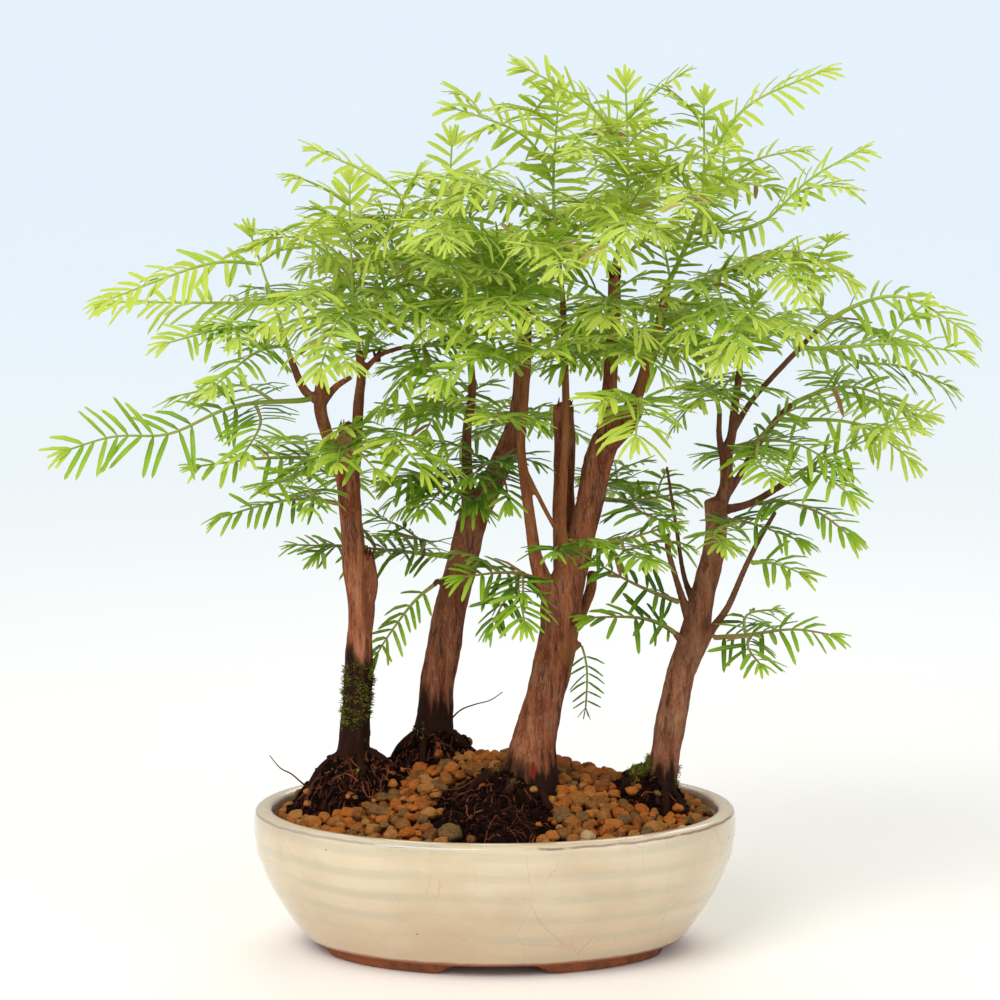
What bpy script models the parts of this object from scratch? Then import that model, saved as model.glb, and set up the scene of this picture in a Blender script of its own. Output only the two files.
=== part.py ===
"""Dawn redwood bonsai forest: four young trees in an oval glazed tray.

Everything is worked out in millimetres from the tray's centre on the surface it stands on:
X to the right, Y away from the front, Z up. Meshes are made in metres, and at the end every
piece moves by ORIGIN_SHIFT, so that the origin lies under the middle of the whole forest.
"""

import math
import random
from collections import namedtuple

import bmesh
import bpy
import numpy as np
from mathutils import Quaternion, Vector
from mathutils.bvhtree import BVHTree

MM = 0.001
GAP = 0.3
WELD_DISTANCE = 0.0000002

# Where the tray's centre lies from the origin
ORIGIN_SHIFT = (-10.0, -8.0, 0.0)

# Tray: half of its profile, as distance from the middle of its depth and height
TRAY_INSIDE = ((44, 10), (52, 13), (59, 22), (63.5, 34), (65.8, 46), (66.3, 53))
TRAY_RIM = ((68, 55), (71.5, 55), (73.5, 53.2))
TRAY_OUTSIDE = ((73.9, 48), (72.7, 38), (68.7, 27), (63.2, 17), (54.7, 5))
TRAY_FOOT = ((50.6, 4.6), (49.8, 0), (43.5, 0), (42.5, 4))
TRAY_FLOOR_TOP = 10.0
TRAY_FLOOR_UNDERSIDE = 4.0
TRAY_FLOOR_RADIUS = 44.0
TRAY_EXTRA_LENGTH = 20.3
TRAY_STEPS = 28
FOOT_NOTCH_HEIGHT = 3.5
FOOT_NOTCHES = ((90, 30, 45), (270, 30, 45), (0, 34, 46), (180, 34, 46))
DRAIN_HOLE_X = 36.0
DRAIN_HOLE_RADIUS = 7.0
SCREEN_SIZE = 23.0
SCREEN_BARS = 4
SCREEN_BAR_WIDTH = 1.8
SCREEN_THICKNESS = 1.2

# Ground: a dome that falls to the rim, with a mound of bare soil round each trunk
GROUND_EDGE = 50.0
GROUND_RISE = 22.0
GROUND_TOP_Y = 22.0
GROUND_HALF_WIDTH = 86.0
GROUND_FRONT_REACH = 87.0
GROUND_BACK_REACH = 43.0
GROUND_POWER = 1.3
GRAVEL_DEPTH = 5.0
SOIL_TOP_RADII = (0, 14, 28, 41, 54)
SOIL_EDGE_RADIUS = 65.0
UNSET_HEIGHT = 100.0
GRAVEL_PITCH = 10.5
GRAIN_HEIGHT = 3.2
GRAIN_JITTER = 2.2

Mound = namedtuple("Mound", "x y rise half_width half_depth")
MOUNDS = (
    Mound(-58, 5, 17, 30, 25),
    Mound(-26, 29, 14, 25, 19),
    Mound(7, -12, 6, 24, 20),
    Mound(-1, -34, 1.5, 32, 45),
    Mound(61, 1, 13, 20, 19),
)
BARE_SHARE = 0.78
PATCH_SIDES = 14
PATCH_WOBBLE = 0.05
BELOW_GRAVEL = 25.0
ABOVE_GRAVEL = 110.0

# Needles
NEEDLE_LENGTH = 12.5
NEEDLE_WIDTH = 2.3
PAIR_PITCH = 13.0
STEM_RADIUS = 1.15
SHOOT_RADIUS = 0.9
TIP_RADIUS = 0.6
TIP_NEEDLE = 7.0
CORE_CLEARANCE = 3.0
BARE_STEP = 14.0
SEAT_STEP = 0.1
SEAT_CLEAR_RUN = 1.2

# Trees: each limb is a route of (x, y, z, radius)
LEFT_TREE = {
    "trunk": (
        (-56, 5, 48, 7.2), (-56, 5, 62, 7.8), (-56, 5, 70, 6.8), (-55, 5, 82, 6.0), (-54, 5, 95, 5.6),
        (-53, 4, 119, 5.0), (-52, 4, 133, 5.3), (-54, 3, 145, 4.9), (-55, 3, 157, 4.4), (-56, 2, 171, 4.4),
        (-57, 2, 182, 4.8),
    ),
    "left_leader": (
        (-57, 2, 179, 4.0), (-61, 0, 192, 2.9), (-65, -2, 201, 2.5), (-67, -4, 210, 2.6),
        (-67, -5, 222, 2.0),
    ),
    "right_leader": (
        (-56, 3, 179, 3.6), (-54, 7, 197, 2.4), (-53, 9, 212, 2.2), (-52, 11, 223, 1.9),
        (-53, 11, 232, 1.6),
    ),
    "cut_stub": ((-56, 1, 179, 4.2), (-57, 0, 193, 3.5), (-57, -1, 204, 3.4)),
    "dead_stub": ((-51, 3, 126, 2.0), (-48, 2, 140, 2.5), (-49, 2, 153, 2.2)),
    "left_twig": ((-67, -5, 213, 2.0), (-73, -8, 218, 1.7), (-78, -10, 230, 1.4)),
    "inner_twig": ((-66, -4, 213, 1.8), (-61, -7, 219, 1.4), (-55, -10, 223, 1.1)),
    "right_twig": ((-52, 11, 223, 1.4), (-45, 14, 230, 1.1), (-36, 18, 233, 1.0)),
}
BACK_TREE = {
    "trunk": (
        (-25, 30, 56, 8.0), (-25, 30, 72, 8.8), (-24, 30, 86, 7.2), (-23, 30, 99, 6.9), (-20, 30, 115, 6.8),
        (-17, 30, 131, 6.4), (-13, 30, 147, 6.2), (-9, 30, 163, 5.9), (-6, 31, 171, 5.4),
    ),
    "right_leader": (
        (-7, 30, 167, 5.0), (1, 32, 183, 4.6), (7, 34, 196, 4.3), (10, 36, 211, 3.4), (10, 37, 230, 2.7),
    ),
    "left_leader": (
        (-10, 29, 163, 3.6), (-11, 27, 183, 2.4), (-11, 26, 200, 2.0), (-9, 26, 215, 1.7),
        (-10, 27, 233, 1.4),
    ),
    "low_twig": ((-17, 28, 134, 2.0), (-22, 22, 140, 1.3), (-24, 18, 139, 1.1)),
}
MAIN_TREE = {
    "trunk": (
        (13, -8, 44, 10.5), (13, -8, 60, 12.2), (14, -8, 72, 10.3), (15, -8, 81, 8.7), (18, -8, 92, 7.8),
        (20, -8, 102, 7.4), (23, -7, 114, 7.7), (25, -6, 125, 7.6), (26, -6, 136, 7.9), (29, -5, 146, 6.6),
        (32, -4, 154, 5.7), (34, -4, 163, 5.4), (37, -3, 175, 5.4), (39, -2, 187, 5.4), (43, -2, 199, 5.5),
    ),
    "left_leader": (
        (25, -8, 134, 5.0), (20, -11, 142, 4.0), (16, -12, 153, 2.8), (14, -13, 165, 2.3),
        (12, -14, 180, 2.1), (10, -14, 197, 1.8), (11, -14, 215, 2.0), (12, -12, 233, 2.1),
        (12, -10, 249, 1.9),
    ),
    "second_leader": (
        (28, -7, 141, 3.2), (26, -12, 162, 2.0), (26, -12, 176, 1.7), (27, -12, 199, 1.6),
        (27, -11, 222, 1.5), (26, -9, 252, 1.3),
    ),
    "cut_stub": ((28, 0, 139, 5.2), (27, 5, 166, 4.4), (27, 7, 194, 4.3), (27, 8, 211, 4.0)),
    "main_leader": (
        (42, -2, 194, 4.0), (44, 1, 213, 3.1), (45, 2, 229, 2.8), (46, 3, 248, 2.7), (46, 3, 265, 2.3),
    ),
    "front_limb": ((43, -3, 195, 3.2), (51, -14, 203, 2.1), (55, -24, 211, 1.5)),
    "right_leader": (
        (42, -1, 196, 3.4), (54, 4, 213, 2.6), (59, 6, 226, 2.5), (63, 7, 238, 2.4), (67, 8, 258, 1.7),
    ),
    "cross_twig": ((12, -14, 187, 1.0), (20, -13, 171, 1.0), (26, -12, 161, 1.2)),
    "back_stub": ((31, -1, 125, 2.6), (37, 4, 138, 2.2), (38, 5, 146, 1.9)),
    "low_stub": ((27, -6, 115, 1.8), (33, -10, 120, 1.2)),
}
RIGHT_TREE = {
    "trunk": (
        (64, 0, 42, 6.8), (64, 0, 56, 7.6), (65, 0, 66, 6.4), (67, 0, 76, 5.9), (69, 0, 90, 5.8),
        (72, 1, 104, 5.6), (76, 2, 116, 5.7), (79, 3, 127, 5.4), (81, 3, 137, 4.8), (84, 4, 149, 4.4),
        (86, 4, 161, 4.5), (86, 4, 174, 4.5),
    ),
    "leader": (
        (86, 4, 168, 3.3), (90, 6, 180, 2.7), (90, 6, 192, 2.6), (92, 6, 199, 1.9), (93, 6, 209, 1.7),
        (95, 6, 225, 1.4),
    ),
    "left_twig": ((89, 5, 190, 1.8), (87, 3, 199, 1.3), (87, 3, 209, 1.1)),
    "low_limb": (
        (78, 2, 112, 2.6), (84, -3, 124, 1.8), (90, -8, 134, 1.4), (96, -14, 150, 1.2),
        (101, -16, 161, 1.1), (107, -18, 172, 0.9),
    ),
    "mid_limb": (
        (88, 5, 173, 2.0), (96, 9, 184, 1.4), (100, 11, 191, 1.3), (110, 12, 205, 1.4), (116, 12, 211, 1.3),
    ),
    "short_limb": ((87, 3, 170, 2.2), (99, -4, 174, 1.5), (112, -12, 183, 1.4)),
    "high_limb": ((93, 6, 202, 1.5), (99, 0, 213, 1.2), (107, -4, 223, 1.2), (123, -10, 241, 1.1)),
    "bare_twig_a": ((76, 2, 127, 2.2), (71, -1, 142, 1.3), (67, -3, 156, 1.2), (67, -3, 162, 1.0)),
    "bare_twig_b": ((79, 4, 130, 1.8), (74, 7, 144, 1.1), (71, 7, 162, 0.9), (67, 7, 187, 0.7)),
    "low_spur": ((75, 1, 117, 2.2), (70, -3, 123, 1.3)),
}
TREES = {"left_tree": LEFT_TREE, "back_tree": BACK_TREE, "main_tree": MAIN_TREE, "right_tree": RIGHT_TREE}
TRUNK_SIDES = {"left_tree": 8, "back_tree": 8, "main_tree": 10, "right_tree": 8}
LIMB_SIDES = 6
TWIG_SIDES = 4
TWIG_RADIUS = 2.75

# Surface roots: (tree, direction in degrees, length from the trunk's middle, radius)
ROOTS = (
    ("left_tree", 200, 20, 2.0), ("left_tree", 285, 17, 1.7), ("left_tree", 345, 19, 1.9),
    ("left_tree", 90, 15, 1.7),
    ("back_tree", 185, 19, 2.1), ("back_tree", 260, 17, 1.8), ("back_tree", 340, 18, 1.9),
    ("back_tree", 80, 15, 1.8),
    ("main_tree", 195, 25, 2.6), ("main_tree", 248, 24, 2.2), ("main_tree", 300, 22, 2.2),
    ("main_tree", 20, 22, 2.4),
    ("right_tree", 195, 18, 1.9), ("right_tree", 275, 16, 1.8), ("right_tree", 340, 17, 1.8),
    ("right_tree", 95, 15, 1.6),
)
PLACE_GROWTH = 0.5
ROOT_SINK = 0.6
ROOT_DIVE = 2.2
ROOT_SIDES = 4

# Sprays: each has a stem that starts on a limb, and shoots that leave the stem at a share of its
# length and pass through the given points. Lean is how far a needle fan's face leans to the front.
Shoot = namedtuple("Shoot", "share route lean")
Spray = namedtuple("Spray", "name leafy_from lean stem shoots")
SPRAYS = (
    Spray("left_tree_spray_outer", 0.93, 20,
        ((-78, -10, 230), (-80, -10, 238), (-84, -12, 251), (-88, -14, 264), (-92, -14, 276)), (
        Shoot(0.78, ((-107, -20, 267), (-145, -30, 253)), 35),
        Shoot(0.45, ((-106, -2, 251), (-146, 8, 251)), 25),
        Shoot(0.22, ((-99, -30, 243), (-120, -45, 238)), 30),
        Shoot(0.10, ((-89, -36, 234), (-102, -58, 223)), 20),
        Shoot(0.62, ((-90, 30, 251), (-95, 66, 250)), 10),
    )),
    Spray("left_tree_spray_long", 0.34, 55,
        ((-67, -6, 215), (-78, -14, 214), (-93, -22, 214), (-105, -30, 211), (-123, -38, 202),
         (-139, -44, 204), (-156, -50, 199)), (
        Shoot(0.16, ((-99, 10, 219), (-123, 22, 214)), 15),
        Shoot(0.24, ((-86, -50, 208), (-90, -72, 200)), 25),
    )),
    Spray("left_tree_spray_mid", 0.2, 30,
        ((-60, 0, 188), (-71, -10, 192), (-88, -22, 193), (-110, -32, 191)), (
        Shoot(0.25, ((-76, -40, 187), (-83, -58, 186)), 20),
        Shoot(0.20, ((-76, 24, 196), (-91, 50, 195)), 15),
    )),
    Spray("left_tree_spray_low", 0.15, 25,
        ((-57, 2, 172), (-71, -4, 176), (-86, -12, 175), (-104, -18, 170)), (
        Shoot(0.25, ((-67, -28, 182), (-68, -58, 178)), 15),
    )),
    Spray("left_tree_spray_front", 0.2, 5, ((-57, -1, 194), (-58, -26, 198), (-58, -52, 194)), ()),
    Spray("left_tree_spray_fan", 0.2, 10,
        ((-54, 7, 198), (-46, -10, 203), (-38, -26, 202), (-27, -44, 191)), ()),
    Spray("left_tree_spray_right", 0.1, 15, ((-36, 18, 233), (-21, 16, 234), (-4, 14, 231)), (
        Shoot(0.25, ((-27, -4, 228), (-21, -14, 222)), 20),
    )),
    Spray("left_tree_spray_leader", 0.62, 80,
        ((-53, 11, 232), (-55, 9, 248), (-55, 8, 261), (-56, 8, 275), (-56, 8, 296)), (
        Shoot(0.22, ((-66, -20, 257), (-84, -44, 245)), 18),
        Shoot(0.12, ((-58, -36, 247), (-63, -66, 230)), 8),
        Shoot(0.26, ((-36, -6, 252), (-18, -18, 242)), 25),
        Shoot(0.45, ((-74, -6, 277), (-93, -16, 273)), 20),
        Shoot(0.47, ((-36, -14, 281), (-34, -26, 291), (-42, -34, 298), (-64, -42, 308)), 30),
        Shoot(0.78, ((-46, 16, 285), (-34, 20, 284)), 20),
        Shoot(0.35, ((-57, 48, 266), (-60, 82, 265)), 5),
    )),
    Spray("left_tree_spray_back", 0.6, 25,
        ((-52, 11, 225), (-48, 22, 244), (-42, 26, 260), (-33, 26, 272), (-24, 24, 278)), (
        Shoot(0.50, ((-45, 60, 254), (-51, 88, 252)), 5),
        Shoot(0.70, ((-26, -2, 267), (-18, -24, 265)), 15),
    )),
    Spray("left_tree_spray_rear", 0.2, 5, ((-56, 3, 178), (-58, 36, 180), (-62, 74, 174)), (
        Shoot(0.35, ((-71, 56, 181), (-81, 74, 178)), 10),
    )),
    Spray("back_tree_spray_leader", 0.72, 80,
        ((-10, 27, 233), (-13, 31, 263), (-15, 35, 283), (-18, 37, 297), (-17, 37, 312)), (
        Shoot(0.80, ((-27, 34, 300), (-36, 30, 298)), 20),
        Shoot(0.74, ((-8, 44, 298), (1, 52, 304)), 25),
        Shoot(0.40, ((-26, 60, 265), (-37, 86, 262)), 15),
        Shoot(0.45, ((-10, 76, 276), (-8, 106, 274)), 5),
    )),
    Spray("back_tree_spray_top", 0.3, 60, ((10, 37, 230), (8, 44, 247), (4, 50, 266)), (
        Shoot(0.30, ((14, 78, 253), (19, 108, 255)), 5),
        Shoot(0.55, ((-8, 66, 257), (-20, 76, 256)), 15),
    )),
    Spray("back_tree_spray_mid", 0.1, 20, ((-11, 27, 183), (-23, 16, 183), (-40, 8, 180)), (
        Shoot(0.35, ((-21, -8, 179), (-27, -26, 174)), 15),
    )),
    Spray("back_tree_spray_high", 0.1, 20, ((-10, 26, 208), (-22, 18, 211), (-40, 10, 209)), (
        Shoot(0.20, ((-23, 46, 222), (-33, 62, 224)), 10),
        Shoot(0.12, ((-18, 64, 205), (-25, 98, 202)), 10),
    )),
    Spray("back_tree_spray_low", 0.12, 20,
        ((-13, 29, 148), (-30, 24, 151), (-54, 26, 153), (-78, 26, 154)), (
        Shoot(0.20, ((-27, 4, 159), (-40, -8, 162)), 15),
    )),
    Spray("back_tree_spray_drooping", 0.15, 30,
        ((-24, 18, 139), (-31, 14, 135), (-39, 12, 124), (-49, 10, 110)), ()),
    Spray("back_tree_spray_front", 0.2, 5, ((1, 32, 184), (-3, 6, 189), (-9, -14, 185)), (
        Shoot(0.45, ((4, 0, 184), (5, -14, 176)), 10),
    )),
    Spray("back_tree_spray_rear", 0.2, 5, ((8, 35, 200), (14, 70, 204), (16, 104, 198)), (
        Shoot(0.30, ((-1, 74, 197), (-9, 92, 192)), 10),
    )),
    Spray("main_tree_spray_left", 0.4, 30, ((12, -10, 249), (10, -15, 262), (3, -24, 273)), (
        Shoot(0.30, ((-8, -36, 259), (-21, -52, 267)), 20),
        Shoot(0.95, ((-12, -46, 281), (-27, -64, 276)), 20),
        Shoot(0.20, ((6, -50, 254), (0, -80, 247)), 8),
        Shoot(0.60, ((-3, 10, 275), (-13, 26, 278)), 15),
    )),
    Spray("main_tree_spray_second", 0.55, 75,
        ((26, -9, 252), (24, -11, 273), (22, -13, 292), (24, -13, 329)), (
        Shoot(0.42, ((2, -34, 294), (-20, -48, 299)), 25),
        Shoot(0.56, ((13, -18, 314), (-14, -24, 324)), 35),
        Shoot(0.86, ((15, -34, 323), (5, -48, 324)), 20),
        Shoot(0.25, ((22, -52, 274), (23, -88, 266)), 5),
    )),
    Spray("main_tree_spray_leader", 0.45, 75, ((46, 3, 265), (50, 2, 282), (51, 0, 302), (50, 0, 333)), (
        Shoot(0.62, ((37, -16, 325), (12, -26, 339)), 35),
        Shoot(0.44, ((65, -20, 302), (84, -38, 309)), 25),
        Shoot(0.82, ((60, -8, 331), (68, -12, 336)), 20),
        Shoot(0.52, ((41, -40, 309), (30, -66, 308)), 12),
        Shoot(0.30, ((47, -50, 285), (47, -88, 279)), 5),
        Shoot(0.35, ((54, 46, 292), (58, 88, 295)), 5),
    )),
    Spray("main_tree_spray_right_leader", 0.9, 75,
        ((67, 8, 258), (75, 5, 275), (80, 2, 292), (80, 2, 326)), (
        Shoot(0.64, ((94, -10, 325), (122, -20, 338)), 35),
        Shoot(0.50, ((99, 2, 306), (116, 4, 309)), 25),
        Shoot(0.30, ((100, -10, 280), (118, -16, 298), (136, -20, 308)), 30),
        Shoot(0.45, ((72, -40, 294), (68, -70, 288)), 8),
        Shoot(0.42, ((86, 44, 298), (92, 80, 303)), 8),
    )),
    Spray("main_tree_spray_right", 0.25, 25,
        ((64, 7, 243), (79, -4, 258), (95, -14, 267), (115, -22, 272), (132, -28, 261)), (
        Shoot(0.30, ((85, -40, 252), (89, -68, 237)), 10),
        Shoot(0.52, ((106, -40, 267), (111, -62, 257)), 15),
    )),
    Spray("main_tree_spray_fan", 0.15, 0,
        ((55, -24, 211), (54, -48, 218), (52, -72, 214), (50, -92, 207)), ()),
    Spray("main_tree_spray_front_high", 0.2, 0, ((46, 3, 249), (42, -28, 254), (40, -66, 247)), ()),
    Spray("main_tree_spray_front_low", 0.2, 5, ((45, 2, 230), (48, -28, 237), (49, -62, 234)), ()),
    Spray("main_tree_spray_low_left", 0.15, 30, ((19, -11, 144), (7, -24, 150), (-11, -32, 149)), (
        Shoot(0.35, ((9, -40, 144), (11, -58, 136)), 10),
    )),
    Spray("main_tree_spray_low_front", 0.25, 0, ((26, -11, 152), (24, -28, 160), (22, -52, 161)), ()),
    Spray("main_tree_spray_low_right", 0.12, 20, ((33, -4, 157), (49, -16, 161), (66, -22, 167)), (
        Shoot(0.40, ((49, -36, 159), (56, -54, 158)), 15),
    )),
    Spray("main_tree_spray_mid_right", 0.12, 20, ((37, -3, 176), (55, 12, 173), (78, 22, 176)), (
        Shoot(0.35, ((56, -12, 171), (63, -24, 169)), 15),
    )),
    Spray("main_tree_spray_mid_left", 0.2, 10, ((10, -14, 203), (5, -32, 210), (-3, -58, 211)), ()),
    Spray("main_tree_spray_high_left", 0.2, 12, ((11, -13, 223), (4, -32, 233), (-6, -60, 233)), (
        Shoot(0.30, ((14, -44, 234), (21, -70, 236)), 10),
    )),
    Spray("main_tree_spray_rear", 0.3, 5, ((45, 2, 224), (47, 36, 233), (46, 74, 233), (45, 108, 227)), (
        Shoot(0.30, ((59, 52, 233), (70, 84, 228)), 12),
        Shoot(0.35, ((36, 54, 233), (30, 80, 229)), 12),
    )),
    Spray("main_tree_spray_rear_right", 0.2, 10, ((63, 7, 239), (74, 40, 247), (87, 84, 247)), (
        Shoot(0.35, ((89, 52, 242), (103, 68, 237)), 12),
    )),
    Spray("main_tree_spray_rear_low", 0.2, 5, ((37, -2, 176), (44, 34, 178), (49, 84, 169)), (
        Shoot(0.40, ((53, 52, 174), (63, 70, 168)), 12),
    )),
    Spray("main_tree_spray_dangling", 0.2, 70, ((33, -10, 120), (36, -14, 113), (35, -15, 96)), ()),
    Spray("right_tree_spray_outer", 0.25, 25,
        ((123, -10, 241), (133, -14, 249), (143, -17, 253), (155, -20, 255), (176, -26, 242)), (
        Shoot(0.10, ((120, -14, 254), (115, -18, 267)), 30),
        Shoot(0.15, ((145, 26, 239), (163, 46, 234)), 15),
    )),
    Spray("right_tree_spray_high", 0.12, 25,
        ((117, -8, 234), (134, -20, 235), (152, -26, 237), (172, -32, 234)), (
        Shoot(0.15, ((140, -8, 228), (157, 2, 227), (175, 8, 219)), 25),
    )),
    Spray("right_tree_spray_mid", 0.15, 25,
        ((116, 12, 211), (127, 6, 217), (142, 0, 219), (160, -6, 209)), (
        Shoot(0.35, ((149, 34, 211), (165, 52, 208)), 15),
    )),
    Spray("right_tree_spray_low_outer", 0.15, 30,
        ((110, 12, 205), (123, 0, 206), (141, -10, 205), (157, -18, 193)), (
        Shoot(0.55, ((147, -26, 204), (156, -34, 205)), 20),
    )),
    Spray("right_tree_spray_inner", 0.15, 25,
        ((91, 6, 194), (102, -12, 199), (115, -26, 199), (128, -36, 191)), (
        Shoot(0.30, ((98, -34, 194), (102, -56, 189)), 12),
    )),
    Spray("right_tree_spray_upturned", 0.2, 30, ((112, -12, 183), (123, -20, 192), (140, -26, 200)), (
        Shoot(0.25, ((123, -34, 189), (131, -44, 182)), 20),
    )),
    Spray("right_tree_spray_broad", 0.1, 15,
        ((99, -4, 174), (112, -24, 176), (122, -32, 174), (132, -40, 166)), ()),
    Spray("right_tree_spray_front", 0.15, 15, ((86, 4, 165), (94, -18, 169), (114, -32, 163)), (
        Shoot(0.40, ((82, -32, 166), (84, -56, 164)), 8),
    )),
    Spray("right_tree_spray_limb", 0.15, 25, ((96, -14, 151), (105, -20, 154), (115, -26, 150)), ()),
    Spray("right_tree_spray_low", 0.12, 35,
        ((83, -2, 121), (98, -14, 124), (115, -22, 128), (127, -26, 126)), (
        Shoot(0.30, ((97, 4, 130), (109, 12, 130)), 20),
        Shoot(0.35, ((95, -32, 122), (99, -44, 118)), 15),
    )),
    Spray("right_tree_spray_low_left", 0.12, 30,
        ((70, -3, 123), (62, -8, 129), (51, -12, 131), (37, -16, 131)), ()),
    Spray("right_tree_spray_left", 0.12, 25,
        ((74, 0, 134), (64, -4, 138), (53, -6, 143), (41, -8, 150)), ()),
    Spray("right_tree_spray_crown", 0.3, 30, ((95, 6, 225), (96, 4, 238), (99, 0, 250)), (
        Shoot(0.20, ((80, -24, 239), (72, -44, 237)), 15),
        Shoot(0.45, ((105, -34, 247), (110, -58, 243)), 15),
        Shoot(0.40, ((106, 40, 242), (116, 76, 240)), 10),
    )),
    Spray("right_tree_spray_left_crown", 0.2, 15, ((87, 3, 209), (83, -16, 219), (76, -38, 216)), (
        Shoot(0.30, ((82, 24, 218), (80, 46, 217)), 12),
    )),
    Spray("right_tree_spray_rear", 0.2, 5, ((90, 6, 186), (93, 36, 190), (93, 84, 186)), (
        Shoot(0.35, ((105, 50, 192), (118, 74, 187)), 12),
    )),
)

# Colours, with roughness
GLAZE = ((0.80, 0.66, 0.44), 0.25)
SCREEN_PLASTIC = ((0.03, 0.03, 0.03), 0.6)
SOIL = ((0.020, 0.008, 0.006), 0.95)
GRAVEL = ((0.38, 0.18, 0.05), 0.9)
BARK = {
    "left_tree": ((0.17, 0.070, 0.045), 0.85),
    "back_tree": ((0.14, 0.060, 0.040), 0.85),
    "main_tree": ((0.19, 0.080, 0.050), 0.85),
    "right_tree": ((0.18, 0.085, 0.055), 0.85),
}
LEAF_ROUGHNESS = 0.5
LEAF_DARK = (0.06, 0.17, 0.03)
LEAF_BRIGHT = (0.25, 0.42, 0.05)


def clear_scene():
    """Takes away everything that the file opened with."""
    for thing in list(bpy.data.objects):
        bpy.data.objects.remove(thing, do_unlink=True)


def new_collection(name):
    """A collection inside the scene."""
    collection = bpy.data.collections.new(name)
    bpy.context.scene.collection.children.link(collection)
    return collection


def paint(thing, colour, roughness):
    """Gives a piece a material of its own."""
    material = bpy.data.materials.new(thing.name)
    material.use_nodes = True
    shader = material.node_tree.nodes["Principled BSDF"]
    shader.inputs["Base Color"].default_value = (*colour, 1.0)
    shader.inputs["Roughness"].default_value = roughness
    shader.inputs["Metallic"].default_value = 0.0
    thing.data.materials.clear()
    thing.data.materials.append(material)


def add_mesh(name, work, collection):
    """Makes an object from a worked mesh, whose sizes are in millimetres."""
    bmesh.ops.scale(work, vec=Vector((MM, MM, MM)), verts=work.verts)
    bmesh.ops.recalc_face_normals(work, faces=work.faces)
    mesh = bpy.data.meshes.new(name)
    work.to_mesh(mesh)
    work.free()
    thing = bpy.data.objects.new(name, mesh)
    collection.objects.link(thing)
    return thing


def add_cutter(name, work, cutters):
    """Makes a guide that only cuts other pieces."""
    cutter = add_mesh(name, work, cutters)
    cutter.hide_render = True
    cutter.display_type = "WIRE"
    return cutter


def settle(thing):
    """Turns a piece with modifiers, or a curve, into a plain mesh."""
    graph = bpy.context.evaluated_depsgraph_get()
    mesh = bpy.data.meshes.new_from_object(thing.evaluated_get(graph))
    work = bmesh.new()
    work.from_mesh(mesh)
    bmesh.ops.remove_doubles(work, verts=work.verts, dist=WELD_DISTANCE)
    bmesh.ops.recalc_face_normals(work, faces=work.faces)
    work.to_mesh(mesh)
    work.free()
    if thing.type == "MESH":
        thing.modifiers.clear()
        thing.data = mesh
        return thing
    solid = bpy.data.objects.new(thing.name + "_solid", mesh)
    solid.matrix_world = thing.matrix_world
    thing.users_collection[0].objects.link(solid)
    bpy.data.objects.remove(thing, do_unlink=True)
    return solid


def cut(thing, operation, other, solver="EXACT"):
    """Applies one Boolean of a piece with an object, or with all the objects of a collection."""
    modifier = thing.modifiers.new(operation.title(), "BOOLEAN")
    modifier.operation = operation
    modifier.solver = solver
    if isinstance(other, bpy.types.Collection):
        modifier.operand_type = "COLLECTION"
        modifier.collection = other
    else:
        modifier.object = other
    return settle(thing)


def merge_flat_faces(thing):
    """Joins the flat faces that a cut has split, and parts them again into few triangles."""
    work = bmesh.new()
    work.from_mesh(thing.data)
    bmesh.ops.dissolve_limit(work, angle_limit=0.002, verts=work.verts, edges=work.edges)
    bmesh.ops.triangulate(work, faces=work.faces)
    work.to_mesh(thing.data)
    work.free()


def keep_largest_body(thing):
    """Drops loose scraps, so that a piece is one body."""
    work = bmesh.new()
    work.from_mesh(thing.data)
    unseen = set(work.verts)
    bodies = []
    while unseen:
        body = {unseen.pop()}
        front = list(body)
        while front:
            for edge in front.pop().link_edges:
                near = [vert for vert in edge.verts if vert in unseen]
                unseen.difference_update(near)
                body.update(near)
                front.extend(near)
        bodies.append(body)
    bodies.sort(key=len)
    for scrap in bodies[:-1]:
        bmesh.ops.delete(work, geom=list(scrap), context="VERTS")
    work.to_mesh(thing.data)
    work.free()


def turned_oval(name, profile, collection):
    """Turns a profile of (radius, height) and lengthens it into an oval."""
    mesh = bpy.data.meshes.new(name)
    points = [(radius * MM, 0.0, height * MM) for radius, height in profile]
    mesh.from_pydata(points, [(i, i + 1) for i in range(len(points) - 1)], [])
    thing = bpy.data.objects.new(name, mesh)
    collection.objects.link(thing)
    screw = thing.modifiers.new("Screw", "SCREW")
    screw.steps = TRAY_STEPS
    screw.render_steps = TRAY_STEPS
    screw.use_merge_vertices = True
    screw.merge_threshold = 0.00001
    settle(thing)
    for vertex in thing.data.vertices:
        radius = math.hypot(vertex.co.x, vertex.co.y) / MM
        vertex.co.x *= 1.0 + TRAY_EXTRA_LENGTH / max(radius, TRAY_FLOOR_RADIUS)
    return thing


def foot_notch(direction, top_width, bottom_width, cutters):
    """A wedge that opens the foot ring on one side."""
    work = bmesh.new()
    bmesh.ops.create_cube(work, size=1.0)
    reach = TRAY_FOOT[0][0] + (TRAY_EXTRA_LENGTH if direction % 180 == 0 else 0.0)
    for vertex in work.verts:
        width = top_width if vertex.co.z > 0 else bottom_width
        vertex.co.x = reach - 18.0 if vertex.co.x < 0 else reach + 12.0
        vertex.co.y *= width
        vertex.co.z = FOOT_NOTCH_HEIGHT if vertex.co.z > 0 else -1.0
    turn = Quaternion((0, 0, 1), math.radians(direction)).to_matrix()
    bmesh.ops.rotate(work, verts=work.verts, matrix=turn)
    return add_cutter("foot_notch", work, cutters)


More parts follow.
